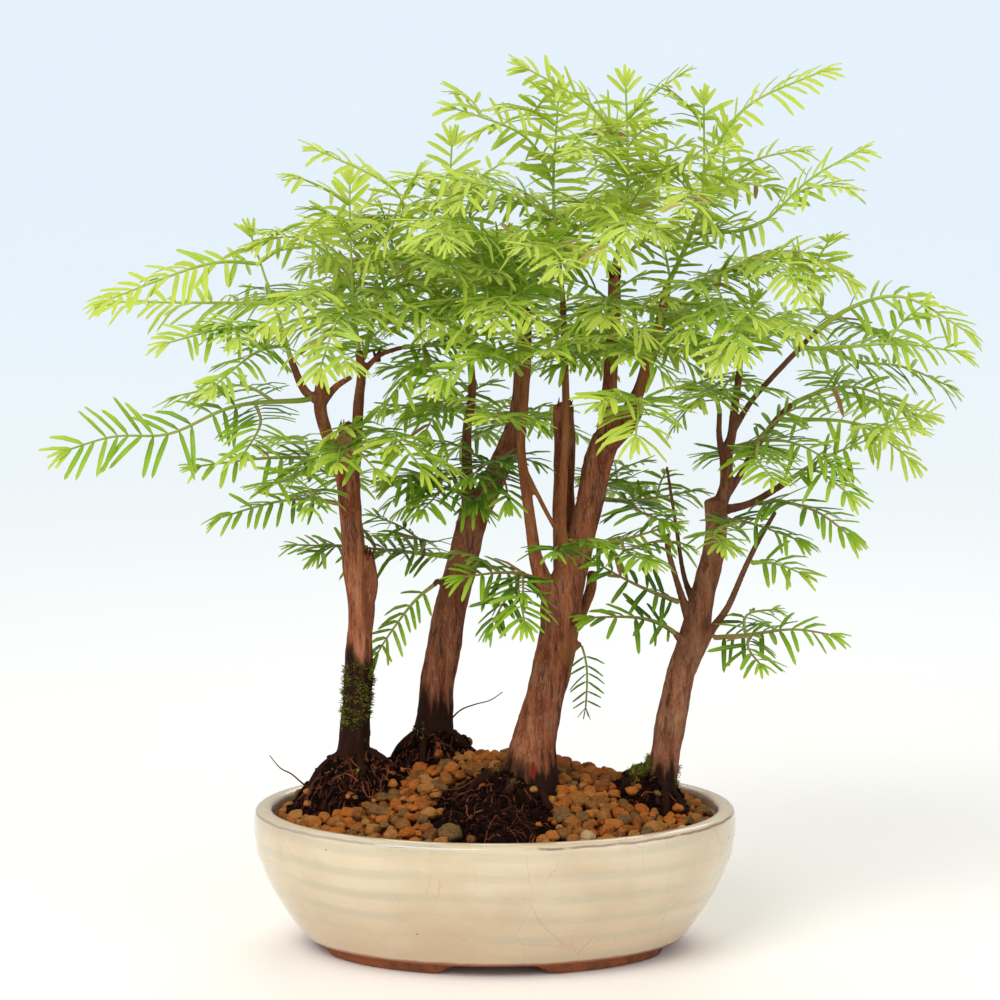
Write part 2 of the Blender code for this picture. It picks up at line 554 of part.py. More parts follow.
def upright_prism(outline, bottom, top, name, cutters):
    """A cutter with straight sides over a closed outline of (x, y)."""
    work = bmesh.new()
    base = work.faces.new([work.verts.new((x, y, bottom)) for x, y in outline])
    raised = bmesh.ops.extrude_face_region(work, geom=[base])
    verts = [item for item in raised["geom"] if isinstance(item, bmesh.types.BMVert)]
    bmesh.ops.translate(work, verts=verts, vec=(0, 0, top - bottom))
    return add_cutter(name, work, cutters)


def ring(half_width, half_depth, steps, centre=(0.0, 0.0), wobble=0.0):
    """Points round an oval, which may wobble."""
    points = []
    for step in range(steps):
        angle = 2.0 * math.pi * step / steps
        waves = math.sin(3.0 * angle + centre[0]) + math.sin(5.0 * angle + centre[1])
        swell = 1.0 + wobble * waves
        points.append((
            centre[0] + half_width * swell * math.cos(angle),
            centre[1] + half_depth * swell * math.sin(angle),
        ))
    return points


def make_tray(parts, cutters):
    """The oval tray with its rim, its four feet and two drain holes."""
    profile = ((0, TRAY_FLOOR_TOP),) + TRAY_INSIDE + TRAY_RIM + TRAY_OUTSIDE + TRAY_FOOT
    tray = turned_oval("tray", profile + ((0, TRAY_FLOOR_UNDERSIDE),), parts)
    for direction, top_width, bottom_width in FOOT_NOTCHES:
        cut(tray, "DIFFERENCE", foot_notch(direction, top_width, bottom_width, cutters))
    for side in (-1, 1):
        outline = ring(DRAIN_HOLE_RADIUS, DRAIN_HOLE_RADIUS, 16, (side * DRAIN_HOLE_X, 0.0))
        cut(tray, "DIFFERENCE", upright_prism(outline, -1.0, TRAY_FLOOR_TOP + 1.0, "drain_hole", cutters))
    paint(tray, *GLAZE)


def box(size_x, size_y, size_z, centre):
    """A worked box round a centre."""
    work = bmesh.new()
    bmesh.ops.create_cube(work, size=1.0)
    bmesh.ops.scale(work, vec=Vector((size_x, size_y, size_z)), verts=work.verts)
    bmesh.ops.translate(work, vec=Vector(centre), verts=work.verts)
    return work


def make_screen(name, x, parts):
    """A square of plastic mesh that lies over a drain hole."""
    height = TRAY_FLOOR_TOP + GAP + SCREEN_THICKNESS / 2
    pitch = (SCREEN_SIZE - SCREEN_BAR_WIDTH) / (SCREEN_BARS - 1)
    bars = new_collection(name + "_bars")
    screen = None
    for index in range(SCREEN_BARS):
        offset = -SCREEN_SIZE / 2 + SCREEN_BAR_WIDTH / 2 + index * pitch
        lengthwise = box(SCREEN_SIZE, SCREEN_BAR_WIDTH, SCREEN_THICKNESS, (x, offset, height))
        crosswise = box(SCREEN_BAR_WIDTH, SCREEN_SIZE, SCREEN_THICKNESS, (x + offset, 0.0, height))
        for work in (lengthwise, crosswise):
            target = parts if screen is None else bars
            bar = add_mesh(name if screen is None else name + "_bar", work, target)
            screen = screen or bar
    cut(screen, "UNION", bars)
    merge_flat_faces(screen)
    remove_collection(bars)
    paint(screen, *SCREEN_PLASTIC)


def remove_collection(collection):
    """Removes a collection with its objects."""
    for thing in list(collection.objects):
        bpy.data.objects.remove(thing, do_unlink=True)
    bpy.data.collections.remove(collection)


def ground_height(x, y):
    """Height of the gravel's middle surface."""
    reach = GROUND_FRONT_REACH if y < GROUND_TOP_Y else GROUND_BACK_REACH
    outward = math.sqrt((x / GROUND_HALF_WIDTH) ** 2 + ((y - GROUND_TOP_Y) / reach) ** 2 + 0.01)
    return GROUND_EDGE + GROUND_RISE * (1.0 - outward ** GROUND_POWER)


def soil_height(x, y):
    """Height of the soil: under the gravel, and up to bare mounds round the trunks."""
    lift = 0.0
    for mound in MOUNDS:
        away = ((x - mound.x) / mound.half_width) ** 2 + ((y - mound.y) / mound.half_depth) ** 2
        if away < 1.0:
            lift = max(lift, (GRAVEL_DEPTH + mound.rise) * (1.0 - away) ** 1.5)
    return ground_height(x, y) - GRAVEL_DEPTH + lift


def soil_body(name, spread, lift, collection):
    """The soil's solid, spread sideways and lifted when it is used as a cutter."""
    wall = [(radius + spread, height - spread) for radius, height in TRAY_INSIDE[:-2]]
    crown = [(radius, UNSET_HEIGHT) for radius in SOIL_TOP_RADII + (SOIL_EDGE_RADIUS + spread,)]
    body = turned_oval(name, crown + wall[::-1] + [(0, TRAY_FLOOR_TOP - spread)], collection)
    for vertex in body.data.vertices:
        if vertex.co.z > 0.9 * UNSET_HEIGHT * MM:
            vertex.co.z = (soil_height(vertex.co.x / MM, vertex.co.y / MM) + lift) * MM
    work = bmesh.new()
    work.from_mesh(body.data)
    bmesh.ops.triangulate(work, faces=work.faces, quad_method="FIXED")
    work.to_mesh(body.data)
    work.free()
    return body


def make_soil(wood_cutters, parts, cutters):
    """The root ball and soil that fill the tray, with holes where the trunks stand."""
    soil = soil_body("soil", -GAP, 0.0, parts)
    for side in (-1, 1):
        room = box(SCREEN_SIZE + 2 * GAP, SCREEN_SIZE + 2 * GAP, 4.0, (
            side * DRAIN_HOLE_X, 0.0, TRAY_FLOOR_TOP + SCREEN_THICKNESS + 2 * GAP - 2.0))
        cut(soil, "DIFFERENCE", add_cutter("screen_room", room, cutters))
    for cutter in wood_cutters:
        cut(soil, "DIFFERENCE", cutter, "MANIFOLD")
    keep_largest_body(soil)
    paint(soil, *SOIL)


def make_gravel(wood_cutters, parts, cutters):
    """The gravel that covers the soil, each grain raised from a bed, open over the bare mounds."""
    draw = random.Random("gravel")
    work = bmesh.new()
    columns = round(2 * (GROUND_HALF_WIDTH + GRAVEL_PITCH) / GRAVEL_PITCH)
    rows = round(2 * (TRAY_INSIDE[-1][0] + GRAVEL_PITCH) / GRAVEL_PITCH)
    bmesh.ops.create_grid(work, x_segments=columns, y_segments=rows, size=0.5)
    for vertex in work.verts:
        vertex.co.x = vertex.co.x * columns * GRAVEL_PITCH + draw.uniform(-GRAIN_JITTER, GRAIN_JITTER)
        vertex.co.y = vertex.co.y * rows * GRAVEL_PITCH + draw.uniform(-GRAIN_JITTER, GRAIN_JITTER)
        vertex.co.z = ground_height(vertex.co.x, vertex.co.y) - draw.uniform(0.4, 1.4)
    grains = bmesh.ops.poke(work, faces=work.faces)
    for vertex in grains["verts"]:
        vertex.co.z += GRAIN_HEIGHT * draw.uniform(0.6, 1.2)
    border = [edge for edge in work.edges if edge.is_boundary]
    skirt = bmesh.ops.extrude_edge_only(work, edges=border)
    low = [item for item in skirt["geom"] if isinstance(item, bmesh.types.BMVert)]
    for vertex in low:
        vertex.co.z = BELOW_GRAVEL + 5.0
    bmesh.ops.contextual_create(work, geom=[edge for edge in work.edges if edge.is_boundary])
    gravel = add_mesh("gravel", work, parts)
    inside = SOIL_EDGE_RADIUS - GAP
    edge = ring(inside + TRAY_EXTRA_LENGTH, inside, TRAY_STEPS)
    wall = upright_prism(edge, BELOW_GRAVEL, ABOVE_GRAVEL, "gravel_edge", cutters)
    cut(gravel, "INTERSECT", wall, "MANIFOLD")
    cut(gravel, "DIFFERENCE", soil_cutter(cutters), "MANIFOLD")
    for mound in MOUNDS:
        reach = (mound.half_width * BARE_SHARE, mound.half_depth * BARE_SHARE)
        outline = ring(*reach, PATCH_SIDES, (mound.x, mound.y), PATCH_WOBBLE)
        patch = upright_prism(outline, BELOW_GRAVEL, ABOVE_GRAVEL, "bare_patch", cutters)
        cut(gravel, "DIFFERENCE", patch, "MANIFOLD")
    for cutter in wood_cutters:
        cut(gravel, "DIFFERENCE", cutter, "MANIFOLD")
    keep_largest_body(gravel)
    paint(gravel, *GRAVEL)


def soil_cutter(cutters):
    """The soil's surface with the gravel's gap on it, reaching past the tray's wall."""
    body = soil_body("soil_surface", 1.0, GAP + 0.1, cutters)
    body.hide_render = True
    body.display_type = "WIRE"
    return body


def limb_tube(name, route, sides, grow, collection):
    """A round limb along its route, thinner or thicker as each point says."""
    curve = bpy.data.curves.new(name, "CURVE")
    curve.dimensions = "3D"
    curve.bevel_depth = MM
    curve.bevel_resolution = (sides - 4) // 2
    curve.use_fill_caps = True
    curve.render_resolution_u = 0
    spline = curve.splines.new("POLY")
    spline.points.add(len(route) - 1)
    for point, (x, y, z, radius) in zip(spline.points, route):
        point.co = (x * MM, y * MM, z * MM, 1.0)
        point.radius = radius + grow
    limb = bpy.data.objects.new(name, curve)
    collection.objects.link(limb)
    return settle(limb)


def root_route(tree, direction, reach, radius):
    """A surface root from inside the trunk, half sunk along the ground to a thin end."""
    base_x, base_y, _, trunk_radius = TREES[tree]["trunk"][1]
    away = Vector((math.cos(math.radians(direction)), math.sin(math.radians(direction))))
    bend = Vector((-away.y, away.x)) * (2.0 if direction % 2 else -2.0)
    route = [(base_x, base_y, soil_height(base_x, base_y) + 1.5, radius)]
    for share, swing, thin in ((0.65, 0.8, 0.9), (1.0, 0.0, 0.5)):
        length = max(trunk_radius, reach * share)
        x = base_x + away.x * length + bend.x * swing
        y = base_y + away.y * length + bend.y * swing
        rise = radius * thin - ROOT_SINK - ROOT_DIVE * share ** 3
        route.append((x, y, soil_height(x, y) + rise, radius * thin))
    return tuple(route)


def wood_routes(tree):
    """Every limb and root of a tree, as (route, sides)."""
    routes = []
    for limb, route in TREES[tree].items():
        sides = LIMB_SIDES if max(point[3] for point in route) > TWIG_RADIUS else TWIG_SIDES
        routes.append((route, TRUNK_SIDES[tree] if limb == "trunk" else sides))
    for owner, direction, reach, radius in ROOTS:
        if owner == tree:
            routes.append((root_route(tree, direction, reach, radius), ROOT_SIDES))
    return routes


def make_wood(tree, parts):
    """A tree's trunk with its limbs and surface roots, grown into one body."""
    limbs = new_collection(tree + "_limbs")
    routes = wood_routes(tree)
    trunk = limb_tube(tree + "_wood", *routes[0], 0.0, parts)
    for route, sides in routes[1:]:
        limb_tube(tree + "_limb", route, sides, 0.0, limbs)
    cut(trunk, "UNION", limbs)
    remove_collection(limbs)
    keep_largest_body(trunk)
    trunk.name = tree + "_wood"
    trunk.data.name = tree + "_wood"
    paint(trunk, *BARK[tree])
    return trunk


def wood_place(tree, cutters):
    """The foot of a trunk and its roots, grown by the gap, to cut their place in the ground."""
    x, y, z, radius = TREES[tree]["trunk"][0]
    foot = ((x, y, z - GAP, radius),) + TREES[tree]["trunk"][1:4]
    place = limb_tube(tree + "_place", foot, TRUNK_SIDES[tree], PLACE_GROWTH, cutters)
    roots = new_collection(tree + "_roots")
    for route, sides in wood_routes(tree)[len(TREES[tree]):]:
        before, end = Vector(route[-2][:3]), Vector(route[-1][:3])
        past_end = end + (end - before).normalized() * PLACE_GROWTH
        longer = route[:-1] + ((*past_end, route[-1][3]),)
        limb_tube(tree + "_root_place", longer, sides, PLACE_GROWTH, roots)
    cut(place, "UNION", roots)
    remove_collection(roots)
    place.hide_render = True
    place.display_type = "WIRE"
    return place


class Rods:
    """The limbs, stems and needles placed so far, as tapering rods, to keep the nodes apart."""

    def __init__(self):
        self.owners = []
        self.rows = []
        self.table = np.zeros((0, 8))

    def add(self, owner, start, end, start_radius, end_radius):
        """Adds one rod of a node."""
        self.owners.append(owner)
        self.rows.append((*start, *end, start_radius, end_radius))

    def refresh(self):
        """Brings the table up to date."""
        self.table = np.array(self.rows)
        self.owner_names = np.array(self.owners)

    def gap(self, owner, start, end, start_radius, end_radius):
        """The clear distance from a rod to the nearest rod of another node, and the way to it."""
        table = self.table[self.owner_names != owner]
        start = np.array(start)
        own = np.array(end) - start
        other = table[:, 3:6] - table[:, 0:3]
        between = start - table[:, 0:3]
        a = max(own @ own, 1e-9)
        e = np.maximum((other * other).sum(axis=1), 1e-9)
        f = (other * between).sum(axis=1)
        c = between @ own
        b = other @ own
        spread = np.maximum(a * e - b * b, 1e-9)
        s = np.clip((b * f - c * e) / spread, 0.0, 1.0)
        t = np.clip((b * s + f) / e, 0.0, 1.0)
        s = np.clip((b * t - c) / a, 0.0, 1.0)
        offset = between + s[:, None] * own - t[:, None] * other
        distance = np.linalg.norm(offset, axis=1)
        radii = start_radius + (end_radius - start_radius) * s
        radii = radii + table[:, 6] + (table[:, 7] - table[:, 6]) * t
        nearest = int(np.argmin(distance - radii))
        return (distance - radii)[nearest], Vector(offset[nearest])


def smooth_route(points, spacing):
    """Points about every spacing along a smooth curve through the given ones."""
    points = [Vector(point) for point in points]
    ends = [2 * points[0] - points[1]] + points + [2 * points[-1] - points[-2]]
    route = [points[0]]
    for before, first, last, after in zip(ends, ends[1:], ends[2:], ends[3:]):
        count = max(1, round((last - first).length / spacing))
        for step in range(1, count + 1):
            t = step / count
            route.append(0.5 * (
                2 * first + (last - before) * t + (2 * before - 5 * first + 4 * last - after) * t ** 2
                + (3 * first - before - 3 * last + after) * t ** 3))
    return route


def lengths(route):
    """How far along the route each of its points lies."""
    total = [0.0]
    for first, last in zip(route, route[1:]):
        total.append(total[-1] + (last - first).length)
    return total


def at_length(route, marks, length):
    """The point that lies at a length along the route, and the direction there."""
    length = min(max(length, 0.0), marks[-1])
    index = 0
    while index < len(route) - 2 and marks[index + 1] < length:
        index += 1
    step = route[index + 1] - route[index]
    share = (length - marks[index]) / max(marks[index + 1] - marks[index], 1e-6)
    return route[index] + step * share, step.normalized()


def bend_clear(owner, route, rods, free_points):
    """Bends a route away from the limbs and shoots of other nodes, and ends it where it can't pass."""
    for _ in range(8):
        for index in range(free_points, len(route)):
            gap, offset = rods.gap(owner, route[index], route[index], SHOOT_RADIUS, SHOOT_RADIUS)
            if gap < CORE_CLEARANCE:
                push = offset.normalized() if offset.length > 0.01 else Vector((0, 0, 1))
                route[index] = route[index] + push * min(1.5, CORE_CLEARANCE - gap)
        for index in range(free_points, len(route) - 1):
            middle = (route[index - 1] + route[index + 1]) / 2
            route[index] = route[index].lerp(middle, 0.3)
    for index in range(free_points + 1, len(route)):
        gap, _ = rods.gap(owner, route[index - 1], route[index], SHOOT_RADIUS, SHOOT_RADIUS)
        if gap < 2 * GAP:
            return route[:index]
    return route


def fan_frame(direction, lean):
    """The normal and the sideways direction of a needle fan."""
    angle = math.radians(lean)
    upward = Vector((0.0, -math.sin(angle), math.cos(angle)))
    normal = (upward - direction * upward.dot(direction)).normalized()
    return normal, direction.cross(normal)


def seated_route(route, wood_surface):
    """Cuts a stem's route off where it comes clear of the limb that bears it."""
    marks = lengths(route)
    start = 0.0
    index = 0
    while index * SEAT_STEP < start + SEAT_CLEAR_RUN:
        point, direction = at_length(route, marks, index * SEAT_STEP)
        normal, sideways = fan_frame(direction, 0.0)
        probes = [point] + [
            point + (normal * math.cos(angle) + sideways * math.sin(angle)) * STEM_RADIUS
            for angle in (0.0, 1.05, 2.09, 3.14, 4.19, 5.24)]
        for probe in probes:
            near, facing, _, distance = wood_surface.find_nearest(probe * MM)
            inside = (probe * MM - near).dot(facing) < 0.0
            if inside or distance < (GAP + 0.05) * MM:
                start = (index + 1) * SEAT_STEP
        index += 1
    point, _ = at_length(route, marks, start)
    return [point] + [spot for spot, mark in zip(route, marks) if mark > start + 1.0]


def needle_tip(owner, base, sideways, direction, normal, length, rods):
    """Where a needle can end clear of the other nodes, or None where it has no room."""
    for shorter in (1.0, 0.75, 0.5):
        for bend in (0.0, 0.3, -0.3, 0.7, -0.7, 1.2, -1.2):
            way = (sideways + direction * 0.55 + normal * bend).normalized()
            tip = base + way * length * shorter
            gap, _ = rods.gap(owner, base, tip, NEEDLE_WIDTH * 0.55, 0.1)
            if gap > GAP + 0.05:
                return tip
    return None


def needled_shoot(owner, route, base_radius, leafy_from, lean, rods, draw):
    """A slim three-sided stem whose side faces are drawn out into pairs of needles."""
    marks = lengths(route)
    total = marks[-1]
    bare = min(leafy_from, total)
    pairs = []
    mark = bare + 1.0
    while mark + NEEDLE_WIDTH < total - 1.0:
        pairs.append(mark)
        mark += PAIR_PITCH * draw.uniform(0.93, 1.07)
    stations = [(0.0, False)]
    if bare > BARE_STEP:
        steps = round(bare / BARE_STEP)
        stations += [(bare * (step + 1) / (steps + 1), False) for step in range(steps)]
    for mark in pairs:
        stations += [(mark, True), (mark + NEEDLE_WIDTH, False)]
    stations.append((total, False))
    work = bmesh.new()
    rings = []
    for mark, _ in stations:
        point, direction = at_length(route, marks, mark)
        normal, sideways = fan_frame(direction, lean)
        radius = base_radius + (TIP_RADIUS - base_radius) * mark / total
        rings.append([
            work.verts.new(point + normal * radius),
            work.verts.new(point - sideways * radius * 0.87 - normal * radius * 0.5),
            work.verts.new(point + sideways * radius * 0.87 - normal * radius * 0.5),
        ])
    needles = []
    for index, (mark, leafy) in enumerate(stations[:-1]):
        near, far = rings[index], rings[index + 1]
        left = work.faces.new((near[0], near[1], far[1], far[0]))
        work.faces.new((near[1], near[2], far[2], far[1]))
        right = work.faces.new((near[2], near[0], far[0], far[2]))
        if leafy:
            needles += [(left, -1.0, mark), (right, 1.0, mark)]
    work.faces.new(rings[0])
    end = work.faces.new(rings[-1][::-1])
    for face, side, mark in needles:
        _, direction = at_length(route, marks, mark)
        normal, sideways = fan_frame(direction, lean)
        along = (mark - bare) / max(total - bare, 1.0)
        fullness = 0.72 + 0.28 * math.sin(math.pi * min(1.0, 0.2 + 0.8 * along))
        length = NEEDLE_LENGTH * fullness * draw.uniform(0.9, 1.1)
        base = face.calc_center_median()
        forward = direction * (0.6 * along ** 3)
        tip = needle_tip(owner, base, sideways * side + forward, direction, normal, length, rods)
        if tip is not None:
            peak = bmesh.ops.poke(work, faces=[face])["verts"][0]
            peak.co = tip
            rods.add(owner, base, tip, NEEDLE_WIDTH * 0.55, 0.1)
    _, direction = at_length(route, marks, total)
    peak = bmesh.ops.poke(work, faces=[end])["verts"][0]
    peak.co += direction * TIP_NEEDLE
    return work


def plan_spray(spray, rods, wood_surface):
    """The routes of a spray's stem and shoots, bent clear of what is already placed."""
    stem = seated_route(smooth_route(spray.stem, 4.0), wood_surface)
    stem = bend_clear(spray.name, stem, rods, 1)
    marks = lengths(stem)
    routes = [(stem, STEM_RADIUS, spray.leafy_from * marks[-1], spray.lean)]
    for shoot in spray.shoots:
        start, _ = at_length(stem, marks, shoot.share * marks[-1])
        route = bend_clear(spray.name, smooth_route((start,) + shoot.route, 4.0), rods, 2)
        if len(route) > 3:
            routes.append((route, SHOOT_RADIUS, 5.0, shoot.lean))
    for route, radius, _, _ in routes:
        for first, last in zip(route, route[1:]):
            rods.add(spray.name, first, last, radius, radius)
        direction = (route[-1] - route[-2]).normalized()
        rods.add(spray.name, route[-1], route[-1] + direction * TIP_NEEDLE, TIP_RADIUS, 0.1)
    rods.refresh()
    return routes


def make_spray(spray, routes, rods, parts):
    """A leafy branch: its stem and shoots with their needles, grown into one body."""
    draw = random.Random(spray.name)
    shoots = new_collection(spray.name + "_shoots")
    body = None
    for route, radius, leafy_from, lean in routes:
        work = needled_shoot(spray.name, route, radius, leafy_from, lean, rods, draw)
        if body is None:
            body = add_mesh(spray.name, work, parts)
        else:
            add_mesh(spray.name + "_shoot", work, shoots)
    if len(shoots.objects):
        cut(body, "UNION", shoots, "MANIFOLD")
    remove_collection(shoots)
    keep_largest_body(body)
    rods.refresh()
    bright = draw.random()
    colour = [dark + (light - dark) * bright for dark, light in zip(LEAF_DARK, LEAF_BRIGHT)]
    paint(body, colour, LEAF_ROUGHNESS)


def make_foliage(wood, parts):
    """All the sprays, planned first and then given their needles."""
    rods = Rods()
    for tree in TREES:
        for route, _ in wood_routes(tree):
            for first, last in zip(route, route[1:]):
                rods.add(tree, first[:3], last[:3], first[3], last[3])
    rods.refresh()
    planned = []
    for spray in SPRAYS:
        tree = spray.name.split("_spray_")[0]
        planned.append((spray, plan_spray(spray, rods, wood[tree])))
    for spray, routes in planned:
        make_spray(spray, routes, rods, parts)


def surface_of(thing):
    """The surface of a piece, for measuring distances to it."""
    graph = bpy.context.evaluated_depsgraph_get()
    return BVHTree.FromObject(thing, graph)


def place_all(parts):
    """Moves every piece, so that the origin lies under the middle of the forest."""
    for thing in parts.objects:
        thing.location = [shift * MM for shift in ORIGIN_SHIFT]


def main():
    """Builds the forest."""
    clear_scene()
    parts = new_collection("dawn_redwood_forest")
    cutters = new_collection("cutters")
    make_tray(parts, cutters)
    make_screen("drain_screen_left", -DRAIN_HOLE_X, parts)
    make_screen("drain_screen_right", DRAIN_HOLE_X, parts)
    wood_cutters = [wood_place(tree, cutters) for tree in TREES]
    make_soil(wood_cutters, parts, cutters)
    make_gravel(wood_cutters, parts, cutters)
    wood = {tree: surface_of(make_wood(tree, parts)) for tree in TREES}
    make_foliage(wood, parts)
    remove_collection(cutters)
    place_all(parts)


main()
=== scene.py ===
"""Looks of the dawn redwood bonsai forest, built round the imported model.

Everything is worked out in millimetres from the tray's centre on the surface it stands on, as in
the part's source: X to the right, Y away from the front, Z up. Every piece's object sits at the
tray's centre, so a material reads its place on the forest from the object's own coordinates.
"""

import math
import random
from collections import namedtuple

import bmesh
import bpy
import numpy as np
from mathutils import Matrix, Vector, noise
from mathutils.bvhtree import BVHTree
from mathutils.kdtree import KDTree


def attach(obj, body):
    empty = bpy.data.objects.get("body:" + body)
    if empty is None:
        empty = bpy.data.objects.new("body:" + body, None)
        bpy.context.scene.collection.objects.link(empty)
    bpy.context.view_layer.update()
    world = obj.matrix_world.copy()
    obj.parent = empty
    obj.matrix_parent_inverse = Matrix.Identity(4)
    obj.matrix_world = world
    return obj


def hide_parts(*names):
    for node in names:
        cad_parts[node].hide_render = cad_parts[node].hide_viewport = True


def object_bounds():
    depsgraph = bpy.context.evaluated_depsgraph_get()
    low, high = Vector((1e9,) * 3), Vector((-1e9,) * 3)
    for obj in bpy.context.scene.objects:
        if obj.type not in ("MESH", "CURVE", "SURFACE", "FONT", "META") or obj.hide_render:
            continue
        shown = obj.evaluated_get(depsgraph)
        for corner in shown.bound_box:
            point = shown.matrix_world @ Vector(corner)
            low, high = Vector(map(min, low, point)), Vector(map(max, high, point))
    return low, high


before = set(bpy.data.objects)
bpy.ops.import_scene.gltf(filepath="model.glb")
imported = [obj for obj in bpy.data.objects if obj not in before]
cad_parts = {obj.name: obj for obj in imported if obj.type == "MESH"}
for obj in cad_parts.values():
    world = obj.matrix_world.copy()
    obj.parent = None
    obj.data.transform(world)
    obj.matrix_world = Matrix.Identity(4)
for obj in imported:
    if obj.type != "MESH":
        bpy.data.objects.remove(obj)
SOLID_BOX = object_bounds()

MM = 0.001
FULL_TURN = 2.0 * math.pi

# Where the tray's centre lies from the origin
TRAY_PLACE = Vector((-10.0, -8.0, 0.0)) * MM

# Camera: the photograph's, looking 6 degrees down from 1.1 metres
CAMERA_TARGET = Vector((-8.0, -8.0, 174.7)) * MM
CAMERA_DISTANCE = 1.1
CAMERA_PITCH = 6.0
CAMERA_LENS = 102.2
CAMERA_SENSOR = 36.0

# Tray: half of its profile, as distance from the middle of its depth and height
TRAY_INSIDE = ((44, 10), (52, 13), (59, 22), (63.5, 34), (65.8, 46), (66.6, 52.6))
TRAY_RIM = ((67.1, 54.1), (68.2, 54.9), (69.8, 55.1), (71.6, 54.9), (72.9, 54.2), (73.5, 53.2))
TRAY_OUTSIDE = ((73.9, 50), (73.7, 46), (72.7, 38), (68.7, 27), (63.2, 17), (57.2, 8.2), (54.7, 5))
TRAY_FOOT = ((54.0, 4.4), (51.2, 4.2), (50.6, 3.8), (50.1, 0.4), (49.6, 0), (44.0, 0), (43.4, 0.4), (42.5, 4))
TRAY_FLOOR_TOP = 10.0
TRAY_FLOOR_UNDERSIDE = 4.0
TRAY_FLOOR_RADIUS = 44.0
TRAY_EXTRA_LENGTH = 20.3
TRAY_STEPS = 200
TRAY_PROFILE_STEP = 1.6
THROWING_RING_DEPTH = 0.20
THROWING_RING_PITCH = 8.6
THROWING_RING_HEIGHTS = (8.0, 50.0)
HAND_WOBBLE = 0.35
FOOT_NOTCH_HEIGHT = 3.5
FOOT_NOTCH_FRONT = (15.0, 22.5)
FOOT_NOTCH_SIDE = (17.0, 23.0)
FOOT_TOP = 4.0
CLAY_TOP = 5.1
CLAY_RINGS = 6
INNER_WALL_RADIUS = 68.2
DRAIN_HOLE_X = 36.0
DRAIN_HOLE_RADIUS = 7.0
DRAIN_CUT_DEPTH = 14.0

# Ground: a dome that falls to the rim, with a mound of bare soil round each trunk
GROUND_EDGE = 50.0
GROUND_RISE = 22.0
GROUND_TOP_Y = 22.0
GROUND_HALF_WIDTH = 86.0
GROUND_FRONT_REACH = 87.0
GROUND_BACK_REACH = 43.0
GROUND_POWER = 1.3
GRAVEL_DEPTH = 5.0
SOIL_EDGE_RADIUS = 65.6
SOIL_STEPS = 170
SOIL_RING_PITCH = 1.5
SOIL_ROUGHNESS = 1.9
SOIL_UNDER_GRAVEL = 1.5

Mound = namedtuple("Mound", "x y rise half_width half_depth")
MOUNDS = (
    Mound(-58, 5, 17, 30, 25),
    Mound(-26, 29, 14, 25, 19),
    Mound(7, -12, 6, 24, 20),
    Mound(-1, -34, 1.5, 32, 45),
    Mound(61, 1, 13, 20, 19),
)
BARE_SHARE = 0.78

# Loose grains and crumbs. Where two faces meet at more than an edge's angle, the edge is sharp
GRAIN_RADII = (1.35, 3.6)
GRAIN_TRIES = 42000
GRAIN_CLOSENESS = 0.87
GRAIN_CELL = 8
GRAIN_FIELD = (86, 66)
GRAIN_FIELD_RADIUS = 65.4
GRAIN_EDGE = 34.0
GRAIN_FLATS = 6
GRAIN_RISE = -0.6
LOWER_GRAIN_DROP = 2.9
SMALL_GRAIN = 1.95
PLAIN_TONES = 0.90
STRAY_GRAINS = 46
CRUMBS = 1900
CRUMB_RADII = (0.35, 1.5)

# Single grains that stand out, as (x, y, radius, tone)
MARKED_GRAINS = ((-16.7, -52, 4.2, 0.90), (26, -38, 3.4, 0.88), (35, -50, 3.0, 1.0), (72, -28, 2.7, 1.0),
                 (-44, -26, 3.6, 0.86), (-70, -22, 3.3, 0.40), (10, 44, 3.4, 0.45))

# Trees: each limb is a route of (x, y, z, radius)
LEFT_TREE = {
    "trunk": (
        (-56, 5, 48, 7.2), (-56, 5, 62, 7.8), (-56, 5, 70, 6.8), (-55, 5, 82, 6.0), (-54, 5, 95, 5.6),
        (-53, 4, 119, 5.0), (-52, 4, 133, 5.3), (-54, 3, 145, 4.9), (-55, 3, 157, 4.4), (-56, 2, 171, 4.4),
        (-57, 2, 182, 4.8),
    ),
    "left_leader": (
        (-57, 2, 179, 4.0), (-61, 0, 192, 2.9), (-65, -2, 201, 2.5), (-67, -4, 210, 2.6),
        (-67, -5, 222, 2.0),
    ),
    "right_leader": (
        (-56, 3, 179, 3.6), (-54, 7, 197, 2.4), (-53, 9, 212, 2.2), (-52, 11, 223, 1.9),
        (-53, 11, 232, 1.6),
    ),
    "cut_stub": ((-56, 1, 179, 4.2), (-57, 0, 193, 3.5), (-57, -1, 204, 3.4)),
    "dead_stub": ((-51, 3, 126, 2.0), (-48, 2, 140, 2.5), (-49, 2, 153, 2.2)),
    "left_twig": ((-67, -5, 213, 2.0), (-73, -8, 218, 1.7), (-78, -10, 230, 1.4)),
    "inner_twig": ((-66, -4, 213, 1.8), (-61, -7, 219, 1.4), (-55, -10, 223, 1.1)),
    "right_twig": ((-52, 11, 223, 1.4), (-45, 14, 230, 1.1), (-36, 18, 233, 1.0)),
}
BACK_TREE = {
    "trunk": (
        (-25, 30, 56, 8.0), (-25, 30, 72, 8.8), (-24, 30, 86, 7.2), (-23, 30, 99, 6.9), (-20, 30, 115, 6.8),
        (-17, 30, 131, 6.4), (-13, 30, 147, 6.2), (-9, 30, 163, 5.9), (-6, 31, 171, 5.4),
    ),
    "right_leader": (
        (-7, 30, 167, 5.0), (1, 32, 183, 4.6), (7, 34, 196, 4.3), (10, 36, 211, 3.4), (10, 37, 230, 2.7),
    ),
    "left_leader": (
        (-10, 29, 163, 3.6), (-11, 27, 183, 2.4), (-11, 26, 200, 2.0), (-9, 26, 215, 1.7),
        (-10, 27, 233, 1.4),
    ),
    "low_twig": ((-17, 28, 134, 2.0), (-22, 22, 140, 1.3), (-24, 18, 139, 1.1)),
}
